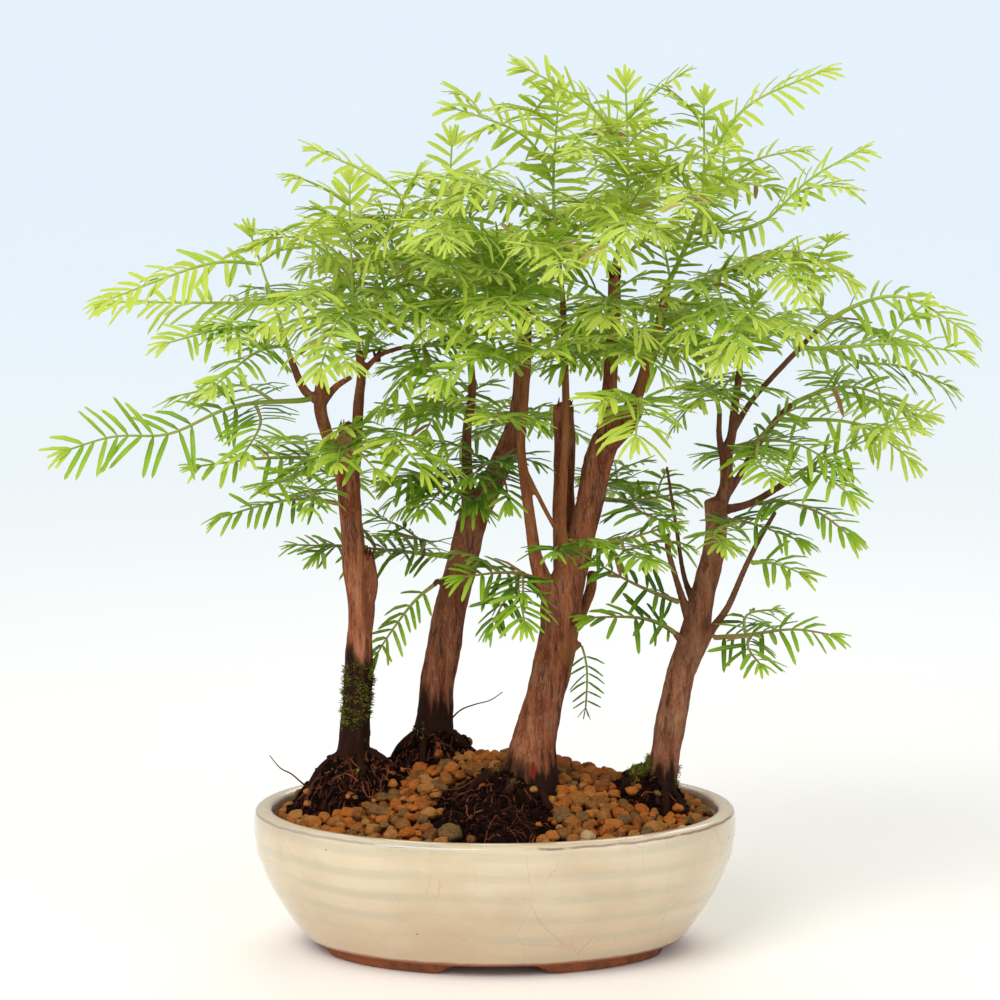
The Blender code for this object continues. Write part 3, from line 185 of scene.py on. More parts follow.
MAIN_TREE = {
    "trunk": (
        (13, -8, 44, 10.5), (13, -8, 60, 12.2), (14, -8, 72, 10.3), (15, -8, 81, 8.7), (18, -8, 92, 7.8),
        (20, -8, 102, 7.4), (23, -7, 114, 7.7), (25, -6, 125, 7.6), (26, -6, 136, 7.9), (29, -5, 146, 6.6),
        (32, -4, 154, 5.7), (34, -4, 163, 5.4), (37, -3, 175, 5.4), (39, -2, 187, 5.4), (43, -2, 199, 5.5),
    ),
    "left_leader": (
        (25, -8, 134, 5.0), (20, -11, 142, 4.0), (16, -12, 153, 2.8), (14, -13, 165, 2.3),
        (12, -14, 180, 2.1), (10, -14, 197, 1.8), (11, -14, 215, 2.0), (12, -12, 233, 2.1),
        (12, -10, 249, 1.9),
    ),
    "second_leader": (
        (28, -7, 141, 3.2), (26, -12, 162, 2.0), (26, -12, 176, 1.7), (27, -12, 199, 1.6),
        (27, -11, 222, 1.5), (26, -9, 252, 1.3),
    ),
    "cut_stub": ((28, 0, 139, 5.2), (27, 5, 166, 4.4), (27, 7, 194, 4.3), (27, 8, 211, 4.0)),
    "main_leader": (
        (42, -2, 194, 4.0), (44, 1, 213, 3.1), (45, 2, 229, 2.8), (46, 3, 248, 2.7), (46, 3, 265, 2.3),
    ),
    "front_limb": ((43, -3, 195, 3.2), (51, -14, 203, 2.1), (55, -24, 211, 1.5)),
    "right_leader": (
        (42, -1, 196, 3.4), (54, 4, 213, 2.6), (59, 6, 226, 2.5), (63, 7, 238, 2.4), (67, 8, 258, 1.7),
    ),
    "cross_twig": ((12, -14, 187, 1.0), (20, -13, 171, 1.0), (26, -12, 161, 1.2)),
    "back_stub": ((31, -1, 125, 2.6), (37, 4, 138, 2.2), (38, 5, 146, 1.9)),
    "low_stub": ((27, -6, 115, 1.8), (33, -10, 120, 1.2)),
}
RIGHT_TREE = {
    "trunk": (
        (64, 0, 42, 6.8), (64, 0, 56, 7.6), (65, 0, 66, 6.4), (67, 0, 76, 5.9), (69, 0, 90, 5.8),
        (72, 1, 104, 5.6), (76, 2, 116, 5.7), (79, 3, 127, 5.4), (81, 3, 137, 4.8), (84, 4, 149, 4.4),
        (86, 4, 161, 4.5), (86, 4, 174, 4.5),
    ),
    "leader": (
        (86, 4, 168, 3.3), (90, 6, 180, 2.7), (90, 6, 192, 2.6), (92, 6, 199, 1.9), (93, 6, 209, 1.7),
        (95, 6, 225, 1.4),
    ),
    "left_twig": ((89, 5, 190, 1.8), (87, 3, 199, 1.3), (87, 3, 209, 1.1)),
    "low_limb": (
        (78, 2, 112, 2.6), (84, -3, 124, 1.8), (90, -8, 134, 1.4), (96, -14, 150, 1.2),
        (101, -16, 161, 1.1), (107, -18, 172, 0.9),
    ),
    "mid_limb": (
        (88, 5, 173, 2.0), (96, 9, 184, 1.4), (100, 11, 191, 1.3), (110, 12, 205, 1.4), (116, 12, 211, 1.3),
    ),
    "short_limb": ((87, 3, 170, 2.2), (99, -4, 174, 1.5), (112, -12, 183, 1.4)),
    "high_limb": ((93, 6, 202, 1.5), (99, 0, 213, 1.2), (107, -4, 223, 1.2), (123, -10, 241, 1.1)),
    "bare_twig_a": ((76, 2, 127, 2.2), (71, -1, 142, 1.3), (67, -3, 156, 1.2), (67, -3, 162, 1.0)),
    "bare_twig_b": ((79, 4, 130, 1.8), (74, 7, 144, 1.1), (71, 7, 162, 0.9), (67, 7, 187, 0.7)),
    "low_spur": ((75, 1, 117, 2.2), (70, -3, 123, 1.3)),
}
TREES = {"left_tree": LEFT_TREE, "back_tree": BACK_TREE, "main_tree": MAIN_TREE, "right_tree": RIGHT_TREE}

# Surface roots: (tree, direction in degrees, length from the trunk's middle, radius)
ROOTS = (
    ("left_tree", 200, 20, 2.0), ("left_tree", 285, 17, 1.7), ("left_tree", 345, 19, 1.9),
    ("left_tree", 90, 15, 1.7),
    ("back_tree", 185, 19, 2.1), ("back_tree", 260, 17, 1.8), ("back_tree", 340, 18, 1.9),
    ("back_tree", 80, 15, 1.8),
    ("main_tree", 195, 25, 2.6), ("main_tree", 248, 24, 2.2), ("main_tree", 300, 22, 2.2),
    ("main_tree", 20, 22, 2.4),
    ("right_tree", 195, 18, 1.9), ("right_tree", 275, 16, 1.8), ("right_tree", 340, 17, 1.8),
    ("right_tree", 95, 15, 1.6),
)

# Sprays: each has a stem that starts on a limb, and shoots that leave the stem at a share of its
# length and pass through the given points. Lean is how far a needle fan's face leans to the front.
Shoot = namedtuple("Shoot", "share route lean")
Spray = namedtuple("Spray", "name leafy_from lean stem shoots")
SPRAYS = (
    Spray("left_tree_spray_outer", 0.93, 20,
        ((-78, -10, 230), (-80, -10, 238), (-84, -12, 251), (-88, -14, 264), (-92, -14, 276)), (
        Shoot(0.78, ((-107, -20, 267), (-145, -30, 253)), 35),
        Shoot(0.45, ((-106, -2, 251), (-146, 8, 251)), 25),
        Shoot(0.22, ((-99, -30, 243), (-120, -45, 238)), 30),
        Shoot(0.10, ((-89, -36, 234), (-102, -58, 223)), 20),
        Shoot(0.62, ((-90, 30, 251), (-95, 66, 250)), 10),
    )),
    Spray("left_tree_spray_long", 0.34, 55,
        ((-67, -6, 215), (-78, -14, 214), (-93, -22, 214), (-105, -30, 211), (-123, -38, 202),
         (-139, -44, 204), (-156, -50, 199)), (
        Shoot(0.16, ((-99, 10, 219), (-123, 22, 214)), 15),
        Shoot(0.24, ((-86, -50, 208), (-90, -72, 200)), 25),
    )),
    Spray("left_tree_spray_mid", 0.2, 30,
        ((-60, 0, 188), (-71, -10, 192), (-88, -22, 193), (-110, -32, 191)), (
        Shoot(0.25, ((-76, -40, 187), (-83, -58, 186)), 20),
        Shoot(0.20, ((-76, 24, 196), (-91, 50, 195)), 15),
    )),
    Spray("left_tree_spray_low", 0.15, 25,
        ((-57, 2, 172), (-71, -4, 176), (-86, -12, 175), (-104, -18, 170)), (
        Shoot(0.25, ((-67, -28, 182), (-68, -58, 178)), 15),
    )),
    Spray("left_tree_spray_front", 0.2, 5, ((-57, -1, 194), (-58, -26, 198), (-58, -52, 194)), ()),
    Spray("left_tree_spray_fan", 0.2, 10,
        ((-54, 7, 198), (-46, -10, 203), (-38, -26, 202), (-27, -44, 191)), ()),
    Spray("left_tree_spray_right", 0.1, 15, ((-36, 18, 233), (-21, 16, 234), (-4, 14, 231)), (
        Shoot(0.25, ((-27, -4, 228), (-21, -14, 222)), 20),
    )),
    Spray("left_tree_spray_leader", 0.62, 80,
        ((-53, 11, 232), (-55, 9, 248), (-55, 8, 261), (-56, 8, 275), (-56, 8, 296)), (
        Shoot(0.22, ((-66, -20, 257), (-84, -44, 245)), 18),
        Shoot(0.12, ((-58, -36, 247), (-63, -66, 230)), 8),
        Shoot(0.26, ((-36, -6, 252), (-18, -18, 242)), 25),
        Shoot(0.45, ((-74, -6, 277), (-93, -16, 273)), 20),
        Shoot(0.47, ((-36, -14, 281), (-34, -26, 291), (-42, -34, 298), (-64, -42, 308)), 30),
        Shoot(0.78, ((-46, 16, 285), (-34, 20, 284)), 20),
        Shoot(0.35, ((-57, 48, 266), (-60, 82, 265)), 5),
    )),
    Spray("left_tree_spray_back", 0.6, 25,
        ((-52, 11, 225), (-48, 22, 244), (-42, 26, 260), (-33, 26, 272), (-24, 24, 278)), (
        Shoot(0.50, ((-45, 60, 254), (-51, 88, 252)), 5),
        Shoot(0.70, ((-26, -2, 267), (-18, -24, 265)), 15),
    )),
    Spray("left_tree_spray_rear", 0.2, 5, ((-56, 3, 178), (-58, 36, 180), (-62, 74, 174)), (
        Shoot(0.35, ((-71, 56, 181), (-81, 74, 178)), 10),
    )),
    Spray("back_tree_spray_leader", 0.72, 80,
        ((-10, 27, 233), (-13, 31, 263), (-15, 35, 283), (-18, 37, 297), (-17, 37, 312)), (
        Shoot(0.80, ((-27, 34, 300), (-36, 30, 298)), 20),
        Shoot(0.74, ((-8, 44, 298), (1, 52, 304)), 25),
        Shoot(0.40, ((-26, 60, 265), (-37, 86, 262)), 15),
        Shoot(0.45, ((-10, 76, 276), (-8, 106, 274)), 5),
    )),
    Spray("back_tree_spray_top", 0.3, 60, ((10, 37, 230), (8, 44, 247), (4, 50, 266)), (
        Shoot(0.30, ((14, 78, 253), (19, 108, 255)), 5),
        Shoot(0.55, ((-8, 66, 257), (-20, 76, 256)), 15),
    )),
    Spray("back_tree_spray_mid", 0.1, 20, ((-11, 27, 183), (-23, 16, 183), (-40, 8, 180)), (
        Shoot(0.35, ((-21, -8, 179), (-27, -26, 174)), 15),
    )),
    Spray("back_tree_spray_high", 0.1, 20, ((-10, 26, 208), (-22, 18, 211), (-40, 10, 209)), (
        Shoot(0.20, ((-23, 46, 222), (-33, 62, 224)), 10),
        Shoot(0.12, ((-18, 64, 205), (-25, 98, 202)), 10),
    )),
    Spray("back_tree_spray_low", 0.12, 20,
        ((-13, 29, 148), (-30, 24, 151), (-54, 26, 153), (-78, 26, 154)), (
        Shoot(0.20, ((-27, 4, 159), (-40, -8, 162)), 15),
    )),
    Spray("back_tree_spray_drooping", 0.15, 30,
        ((-24, 18, 139), (-31, 14, 135), (-39, 12, 124), (-49, 10, 110)), ()),
    Spray("back_tree_spray_front", 0.2, 5, ((1, 32, 184), (-3, 6, 189), (-9, -14, 185)), (
        Shoot(0.45, ((4, 0, 184), (5, -14, 176)), 10),
    )),
    Spray("back_tree_spray_rear", 0.2, 5, ((8, 35, 200), (14, 70, 204), (16, 104, 198)), (
        Shoot(0.30, ((-1, 74, 197), (-9, 92, 192)), 10),
    )),
    Spray("main_tree_spray_left", 0.4, 30, ((12, -10, 249), (10, -15, 262), (3, -24, 273)), (
        Shoot(0.30, ((-8, -36, 259), (-21, -52, 267)), 20),
        Shoot(0.95, ((-12, -46, 281), (-27, -64, 276)), 20),
        Shoot(0.20, ((6, -50, 254), (0, -80, 247)), 8),
        Shoot(0.60, ((-3, 10, 275), (-13, 26, 278)), 15),
    )),
    Spray("main_tree_spray_second", 0.55, 75,
        ((26, -9, 252), (24, -11, 273), (22, -13, 292), (24, -13, 329)), (
        Shoot(0.42, ((2, -34, 294), (-20, -48, 299)), 25),
        Shoot(0.56, ((13, -18, 314), (-14, -24, 324)), 35),
        Shoot(0.86, ((15, -34, 323), (5, -48, 324)), 20),
        Shoot(0.25, ((22, -52, 274), (23, -88, 266)), 5),
    )),
    Spray("main_tree_spray_leader", 0.45, 75, ((46, 3, 265), (50, 2, 282), (51, 0, 302), (50, 0, 333)), (
        Shoot(0.62, ((37, -16, 325), (12, -26, 339)), 35),
        Shoot(0.44, ((65, -20, 302), (84, -38, 309)), 25),
        Shoot(0.82, ((60, -8, 331), (68, -12, 336)), 20),
        Shoot(0.52, ((41, -40, 309), (30, -66, 308)), 12),
        Shoot(0.30, ((47, -50, 285), (47, -88, 279)), 5),
        Shoot(0.35, ((54, 46, 292), (58, 88, 295)), 5),
    )),
    Spray("main_tree_spray_right_leader", 0.9, 75,
        ((67, 8, 258), (75, 5, 275), (80, 2, 292), (80, 2, 326)), (
        Shoot(0.64, ((94, -10, 325), (122, -20, 338)), 35),
        Shoot(0.50, ((99, 2, 306), (116, 4, 309)), 25),
        Shoot(0.30, ((100, -10, 280), (118, -16, 298), (136, -20, 308)), 30),
        Shoot(0.45, ((72, -40, 294), (68, -70, 288)), 8),
        Shoot(0.42, ((86, 44, 298), (92, 80, 303)), 8),
    )),
    Spray("main_tree_spray_right", 0.25, 25,
        ((64, 7, 243), (79, -4, 258), (95, -14, 267), (115, -22, 272), (132, -28, 261)), (
        Shoot(0.30, ((85, -40, 252), (89, -68, 237)), 10),
        Shoot(0.52, ((106, -40, 267), (111, -62, 257)), 15),
    )),
    Spray("main_tree_spray_fan", 0.15, 0,
        ((55, -24, 211), (54, -48, 218), (52, -72, 214), (50, -92, 207)), ()),
    Spray("main_tree_spray_front_high", 0.2, 0, ((46, 3, 249), (42, -28, 254), (40, -66, 247)), ()),
    Spray("main_tree_spray_front_low", 0.2, 5, ((45, 2, 230), (48, -28, 237), (49, -62, 234)), ()),
    Spray("main_tree_spray_low_left", 0.15, 30, ((19, -11, 144), (7, -24, 150), (-11, -32, 149)), (
        Shoot(0.35, ((9, -40, 144), (11, -58, 136)), 10),
    )),
    Spray("main_tree_spray_low_front", 0.25, 0, ((26, -11, 152), (24, -28, 160), (22, -52, 161)), ()),
    Spray("main_tree_spray_low_right", 0.12, 20, ((33, -4, 157), (49, -16, 161), (66, -22, 167)), (
        Shoot(0.40, ((49, -36, 159), (56, -54, 158)), 15),
    )),
    Spray("main_tree_spray_mid_right", 0.12, 20, ((37, -3, 176), (55, 12, 173), (78, 22, 176)), (
        Shoot(0.35, ((56, -12, 171), (63, -24, 169)), 15),
    )),
    Spray("main_tree_spray_mid_left", 0.2, 10, ((10, -14, 203), (5, -32, 210), (-3, -58, 211)), ()),
    Spray("main_tree_spray_high_left", 0.2, 12, ((11, -13, 223), (4, -32, 233), (-6, -60, 233)), (
        Shoot(0.30, ((14, -44, 234), (21, -70, 236)), 10),
    )),
    Spray("main_tree_spray_rear", 0.3, 5, ((45, 2, 224), (47, 36, 233), (46, 74, 233), (45, 108, 227)), (
        Shoot(0.30, ((59, 52, 233), (70, 84, 228)), 12),
        Shoot(0.35, ((36, 54, 233), (30, 80, 229)), 12),
    )),
    Spray("main_tree_spray_rear_right", 0.2, 10, ((63, 7, 239), (74, 40, 247), (87, 84, 247)), (
        Shoot(0.35, ((89, 52, 242), (103, 68, 237)), 12),
    )),
    Spray("main_tree_spray_rear_low", 0.2, 5, ((37, -2, 176), (44, 34, 178), (49, 84, 169)), (
        Shoot(0.40, ((53, 52, 174), (63, 70, 168)), 12),
    )),
    Spray("main_tree_spray_dangling", 0.2, 70, ((33, -10, 120), (36, -14, 113), (35, -15, 96)), ()),
    Spray("right_tree_spray_outer", 0.25, 25,
        ((123, -10, 241), (133, -14, 249), (143, -17, 253), (155, -20, 255), (176, -26, 242)), (
        Shoot(0.10, ((120, -14, 254), (115, -18, 267)), 30),
        Shoot(0.15, ((145, 26, 239), (163, 46, 234)), 15),
    )),
    Spray("right_tree_spray_high", 0.12, 25,
        ((117, -8, 234), (134, -20, 235), (152, -26, 237), (172, -32, 234)), (
        Shoot(0.15, ((140, -8, 228), (157, 2, 227), (175, 8, 219)), 25),
    )),
    Spray("right_tree_spray_mid", 0.15, 25,
        ((116, 12, 211), (127, 6, 217), (142, 0, 219), (160, -6, 209)), (
        Shoot(0.35, ((149, 34, 211), (165, 52, 208)), 15),
    )),
    Spray("right_tree_spray_low_outer", 0.15, 30,
        ((110, 12, 205), (123, 0, 206), (141, -10, 205), (157, -18, 193)), (
        Shoot(0.55, ((147, -26, 204), (156, -34, 205)), 20),
    )),
    Spray("right_tree_spray_inner", 0.15, 25,
        ((91, 6, 194), (102, -12, 199), (115, -26, 199), (128, -36, 191)), (
        Shoot(0.30, ((98, -34, 194), (102, -56, 189)), 12),
    )),
    Spray("right_tree_spray_upturned", 0.2, 30, ((112, -12, 183), (123, -20, 192), (140, -26, 200)), (
        Shoot(0.25, ((123, -34, 189), (131, -44, 182)), 20),
    )),
    Spray("right_tree_spray_broad", 0.1, 15,
        ((99, -4, 174), (112, -24, 176), (122, -32, 174), (132, -40, 166)), ()),
    Spray("right_tree_spray_front", 0.15, 15, ((86, 4, 165), (94, -18, 169), (114, -32, 163)), (
        Shoot(0.40, ((82, -32, 166), (84, -56, 164)), 8),
    )),
    Spray("right_tree_spray_limb", 0.15, 25, ((96, -14, 151), (105, -20, 154), (115, -26, 150)), ()),
    Spray("right_tree_spray_low", 0.12, 35,
        ((83, -2, 121), (98, -14, 124), (115, -22, 128), (127, -26, 126)), (
        Shoot(0.30, ((97, 4, 130), (109, 12, 130)), 20),
        Shoot(0.35, ((95, -32, 122), (99, -44, 118)), 15),
    )),
    Spray("right_tree_spray_low_left", 0.12, 30,
        ((70, -3, 123), (62, -8, 129), (51, -12, 131), (37, -16, 131)), ()),
    Spray("right_tree_spray_left", 0.12, 25,
        ((74, 0, 134), (64, -4, 138), (53, -6, 143), (41, -8, 150)), ()),
    Spray("right_tree_spray_crown", 0.3, 30, ((95, 6, 225), (96, 4, 238), (99, 0, 250)), (
        Shoot(0.20, ((80, -24, 239), (72, -44, 237)), 15),
        Shoot(0.45, ((105, -34, 247), (110, -58, 243)), 15),
        Shoot(0.40, ((106, 40, 242), (116, 76, 240)), 10),
    )),
    Spray("right_tree_spray_left_crown", 0.2, 15, ((87, 3, 209), (83, -16, 219), (76, -38, 216)), (
        Shoot(0.30, ((82, 24, 218), (80, 46, 217)), 12),
    )),
    Spray("right_tree_spray_rear", 0.2, 5, ((90, 6, 186), (93, 36, 190), (93, 84, 186)), (
        Shoot(0.35, ((105, 50, 192), (118, 74, 187)), 12),
    )),
)

# Small shoots that are too fine for the solids: the same kind of rows as a spray's own shoots
EXTRA_SHOOTS = {
    "left_tree_spray_outer": (Shoot(0.80, ((-79, -26, 273), (-66, -34, 281)), 20),),
    "left_tree_spray_leader": (
        Shoot(0.88, ((-65, 2, 295), (-75, -6, 299)), 20),
        Shoot(0.60, ((-66, 40, 281), (-75, 70, 279)), 10),
    ),
    "back_tree_spray_top": (Shoot(0.65, ((10, 78, 270), (15, 102, 280)), 5),),
    "back_tree_spray_leader": (Shoot(0.15, ((-26, 40, 245), (-40, 52, 240)), 15),),
    "main_tree_spray_left": (Shoot(0.10, ((-10, -4, 253), (-30, -2, 251)), 20),),
    "main_tree_spray_leader": (Shoot(0.70, ((46, 34, 318), (42, 60, 326)), 10),),
    "main_tree_spray_right_leader": (Shoot(0.88, ((74, -8, 326), (68, -14, 330)), 20),),
    "main_tree_spray_right": (Shoot(0.28, ((92, 26, 262), (101, 66, 267)), 10),),
    "main_tree_spray_second": (Shoot(0.40, ((30, 24, 286), (31, 56, 292)), 5),),
    "main_tree_spray_front_high": (
        Shoot(0.14, ((38, -14, 249), (24, -26, 245)), 8), Shoot(0.20, ((55, -16, 251), (70, -28, 246)), 8),
    ),
    "main_tree_spray_front_low": (
        Shoot(0.20, ((38, -18, 233), (24, -30, 229)), 8), Shoot(0.30, ((58, -26, 237), (74, -38, 233)), 8),
    ),
}

# Needles: the profile is (share of length, share of breadth), and a fan closes towards its end
NEEDLE_LENGTH = 15.0
NEEDLE_WIDTH = 2.05
NEEDLE_THICKNESS = 0.20
NEEDLE_CHANNEL = 0.13
NEEDLE_PITCH = 3.8
NEEDLE_EDGE = 60.0
NEEDLE_PROFILE = ((0.0, 0.28), (0.16, 0.85), (0.56, 1.0), (0.92, 0.66))
NEEDLE_SAG = (0.02, 0.42)
LENGTH_RANGE = (0.82, 1.14)
WIDTH_RANGE = (0.86, 1.1)
PITCH_RANGE = (0.82, 1.2)
SHORTEST = 0.68
FAN_SPREAD = 66.0
FAN_CLOSING = 26.0
FAN_UNEVENNESS = 9.5
LOST_SHARE = 0.07
DRY_SHARE = 0.012

# Young needles that close round a shoot's end, as (angle in radians, share of length)
END_TUFT = ((-0.5, 0.66), (0.5, 0.66), (-0.25, 0.55), (0.22, 0.55), (0.0, 0.58))

# Stems and shoots: how they slim to their tips, sit in the wood and keep clear of one another
STEM_RADIUS = 1.15
SHOOT_RADIUS = 0.9
TWIG_RADIUS = 0.55
TIP_RADIUS = 0.38
SLIMMING = 1.7
ROOTED = 0.9
STEM_SPACING = 4.0
SKIN_SPACING = 2.5
SHOOT_BARE = 5.0
TWIG_BARE = 2.0
TIP_NEEDLE = 7.0
TIP_NEEDLE_RADII = (0.6, 0.1)
CORE_CLEARANCE = 3.0
GAP = 0.3
BEND_ROUNDS = 8
BEND_STEP = 1.5
SEAT_STEP = 0.1
SEAT_CLEAR_RUN = 1.2
SEAT_PROBES = (0.0, 1.05, 2.09, 3.14, 4.19, 5.24)

# Side shoots: they lie in a level route's fan, and stand all round an upright route
UPRIGHT = 0.72
SIDE_SHOOT_PITCH = 10.4
SIDE_SHOOT_LENGTH = 29.0
WHORL_PITCH = 6.0
WHORL_LENGTH = 38.0
LENGTH_AT_FOOT = 1.05
LENGTH_LOST = 0.62
TWIG_SCALE = 0.92
GOLDEN_ANGLE = math.radians(137.5)
BOX_MARGIN = 13.0

# The crown is fullest in its middle. Its needles are younger high up, and older by the trunks, where they are
# also painted darker as shade deep in the crown
CROWN_MIDDLE = Vector((18.0, 0.0, 235.0))
CROWN_REACH = 77.0
CROWN_FULLNESS = 1.15
CROWN_THINNING = 0.75
LEAST_FULLNESS = 0.16
CROWN_FOOT = 120.0
CROWN_HEIGHT = 200.0
CROWN_SPREAD = 150.0
SHADED_REACH = 62.0
SHADED_LOSS = 0.60
YOUTH_LIMITS = (0.08, 0.95)
YOUTH_OF_LEFT = -0.01
YOUTH_OF_RIGHT = -0.08

# How a spray departs from the rest: shares of the needles' length, width and pitch, the share of
# side shoots, and how much younger it is
Habit = namedtuple("Habit", "length width pitch fullness youth")
PLAIN_HABIT = Habit(1.0, 1.0, 1.0, 1.0, 0.0)
HABITS = {
    "left_tree_spray_long": Habit(1.16, 0.97, 1.25, 0.7, -0.10),
    "main_tree_spray_dangling": Habit(0.50, 0.42, 0.95, 0.0, -0.6),
    "back_tree_spray_drooping": Habit(0.74, 0.80, 0.95, 0.5, 0.15),
    "main_tree_spray_fan": Habit(1.30, 1.30, 0.95, 0.4, 0.2),
    "left_tree_spray_fan": Habit(1.20, 1.20, 0.95, 0.7, 0.2),
    "left_tree_spray_leader": Habit(1.0, 1.0, 1.0, 0.9, 0.05),
    "left_tree_spray_low": Habit(0.88, 0.9, 1.15, 0.3, 0.0),
    "left_tree_spray_mid": Habit(0.95, 1.0, 1.15, 0.3, 0.0),
    "left_tree_spray_rear": Habit(0.9, 0.9, 1.3, 0.25, 0.0),
    "main_tree_spray_low_left": Habit(1.0, 1.0, 0.95, 2.2, 0.0),
    "back_tree_spray_mid": Habit(0.95, 1.0, 0.95, 2.2, 0.0),
    "back_tree_spray_low": Habit(0.9, 0.9, 1.0, 1.3, 0.0),
    "right_tree_spray_low_outer": Habit(0.95, 1.0, 1.2, 0.4, 0.45),
    "right_tree_spray_limb": Habit(1.0, 1.0, 1.0, 1.0, 0.30),
    "right_tree_spray_low": Habit(0.92, 1.0, 1.1, 0.6, 0.15),
    "right_tree_spray_outer": Habit(1.0, 1.0, 1.1, 0.6, -0.05),
}

# The room in the solids' box for the ends of side shoots, in millimetres
ROOM = [
    (corner - TRAY_PLACE) / MM + Vector((1.0, 1.0, 1.0)) * margin
    for corner, margin in zip(SOLID_BOX, (BOX_MARGIN, -BOX_MARGIN))]

# Bark
BARK_VOXEL = 0.68
BARK_STRIPS = 0.36
BARK_LUMPS = 0.60
ROUTE_STEP = 1.5
ROOT_SINK = 0.6
ROOT_DIVE = 2.2

# Rootlets, as (x, y) on the ground and for the strays also z, in millimetres
ROOTLETS_PER_TREE = 64
STRAY_ROOTS = (
    ((-22, 33, 74), (-19, 31, 81), (-14, 28, 87), (-8, 25, 90), (-2, 23, 92), (3, 22, 95.5)),
    ((-70, -4, 60), (-75, -8, 65), (-79, -10, 69), (-83, -12, 71.6), (-87, -14, 77)),
    ((-8, -18, 68), (-14, -24, 66), (-22, -28, 66), (-30, -30, 64)),
    ((-66, 0, 66), (-70, -10, 66), (-72, -20, 62), (-70, -30, 60)),
)
FIBRE_MATS = (
    (0, -34, 22, 24, 80), (-62, -10, 20, 15, 40), (-38, 12, 16, 12, 22), (62, -13, 16, 10, 26),
    (-24, 18, 16, 9, 22),
)
BROKEN_ENDS = ((-49, 2, 152.5, 2.0), (-57, -1, 203, 3.0), (-46, 14, 229, 1.2), (27, 8, 210, 3.6),
               (46, 3, 262, 2.6))

# Moss, as (tree, centre, reach, tufts, share of them on the bark)
MOSS_PATCHES = (
    ("left_tree", (-55, -3, 99), 13.0, 165, 1.0),
    ("left_tree", (-57, -1, 84), 8.0, 16, 0.8),
    ("right_tree", (56, -1, 72), 6.0, 130, 0.6),
    ("right_tree", (74, -2, 66), 5.0, 14, 0.7),
    ("main_tree", (4, -17, 68), 6.0, 12, 0.7),
    ("back_tree", (-29, 25, 78), 6.0, 14, 0.7),
)


def to_metres(points):
    """A list of places in millimetres as an array in metres."""
    return np.array([tuple(point) for point in points], dtype=float).reshape(-1, 3) * MM


class Shape:
    """The points and faces of a piece that is being made, with a number or more at each point."""

    def __init__(self, *traits):
        self.points = []
        self.faces = []
        self.finishes = []
        self.traits = traits
        self.values = []

    def add(self, point, *values):
        """Adds one point and tells its number."""
        self.points.append(point)
        self.values.append(values)
        return len(self.points) - 1

    def face(self, corners, finish=0):
        """Adds one face."""
        self.faces.append(corners)
        self.finishes.append(finish)

    def band(self, first, second, finish=0):
        """Joins two closed rings of as many points."""
        for index in range(len(first)):
            after = (index + 1) % len(first)
            self.face((first[index], first[after], second[after], second[index]), finish)

    def fan(self, middle, ring, finish=0):
        """Closes a ring with faces that meet at a middle point."""
        for index, corner in enumerate(ring):
            self.face((middle, corner, ring[(index + 1) % len(ring)]), finish)

    def mesh(self, name):
        """The finished mesh."""
        mesh = bpy.data.meshes.new(name)
        mesh.from_pydata(to_metres(self.points).tolist(), [], self.faces)
        mesh.polygons.foreach_set("material_index", self.finishes)
        for index, trait in enumerate(self.traits):
            layer = mesh.attributes.new(trait, "FLOAT", "POINT")
            layer.data.foreach_set("value", [float(values[index]) for values in self.values])
        work = bmesh.new()
        work.from_mesh(mesh)
        bmesh.ops.recalc_face_normals(work, faces=work.faces)
        work.to_mesh(mesh)
        work.free()
        return mesh


def add_piece(name, mesh, materials, nodes=(), smooth=True):
    """Puts a mesh in the scene as a piece of the forest that stands for CAD nodes."""
    for index, material in enumerate(materials):
        if index < len(mesh.materials):
            mesh.materials[index] = material
        else:
            mesh.materials.append(material)
    mesh.polygons.foreach_set("use_smooth", [smooth] * len(mesh.polygons))
    piece = bpy.data.objects.new(name, mesh)
    piece.location = TRAY_PLACE
    bpy.context.scene.collection.objects.link(piece)
    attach(piece, "root")
    if nodes:
        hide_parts(*nodes)
    return piece


def settled(thing):
    """The mesh of a working object with its modifiers applied. The object is removed."""
    graph = bpy.context.evaluated_depsgraph_get()
    mesh = bpy.data.meshes.new_from_object(thing.evaluated_get(graph))
    bpy.data.objects.remove(thing, do_unlink=True)
    return mesh


def working_object(name, mesh):
    """An object that is only there while a piece is being made."""
    thing = bpy.data.objects.new(name, mesh)
    bpy.context.scene.collection.objects.link(thing)
    return thing


# Routes


def smooth_route(points, spacing):
    """Points about every spacing along a smooth curve through the given ones."""
    points = [Vector(point) for point in points]
    ends = [2 * points[0] - points[1]] + points + [2 * points[-1] - points[-2]]
    route = [points[0]]
    for before, first, last, after in zip(ends, ends[1:], ends[2:], ends[3:]):
        count = max(1, round((last - first).length / spacing))
        for step in range(1, count + 1):
            share = step / count
            route.append(0.5 * (
                2 * first + (last - before) * share
                + (2 * before - 5 * first + 4 * last - after) * share ** 2
                + (3 * first - before - 3 * last + after) * share ** 3))
    return route


def lengths(route):
    """How far along the route each of its points lies."""
    total = [0.0]
    for first, last in zip(route, route[1:]):
        total.append(total[-1] + (last - first).length)
    return total


def at_length(route, marks, length):
    """The point that lies at a length along the route, and the direction there."""
    length = min(max(length, 0.0), marks[-1])
    index = 0
    while index < len(route) - 2 and marks[index + 1] < length:
        index += 1
    step = route[index + 1] - route[index]
    share = (length - marks[index]) / max(marks[index + 1] - marks[index], 1e-6)
    return route[index] + step * share, step.normalized()


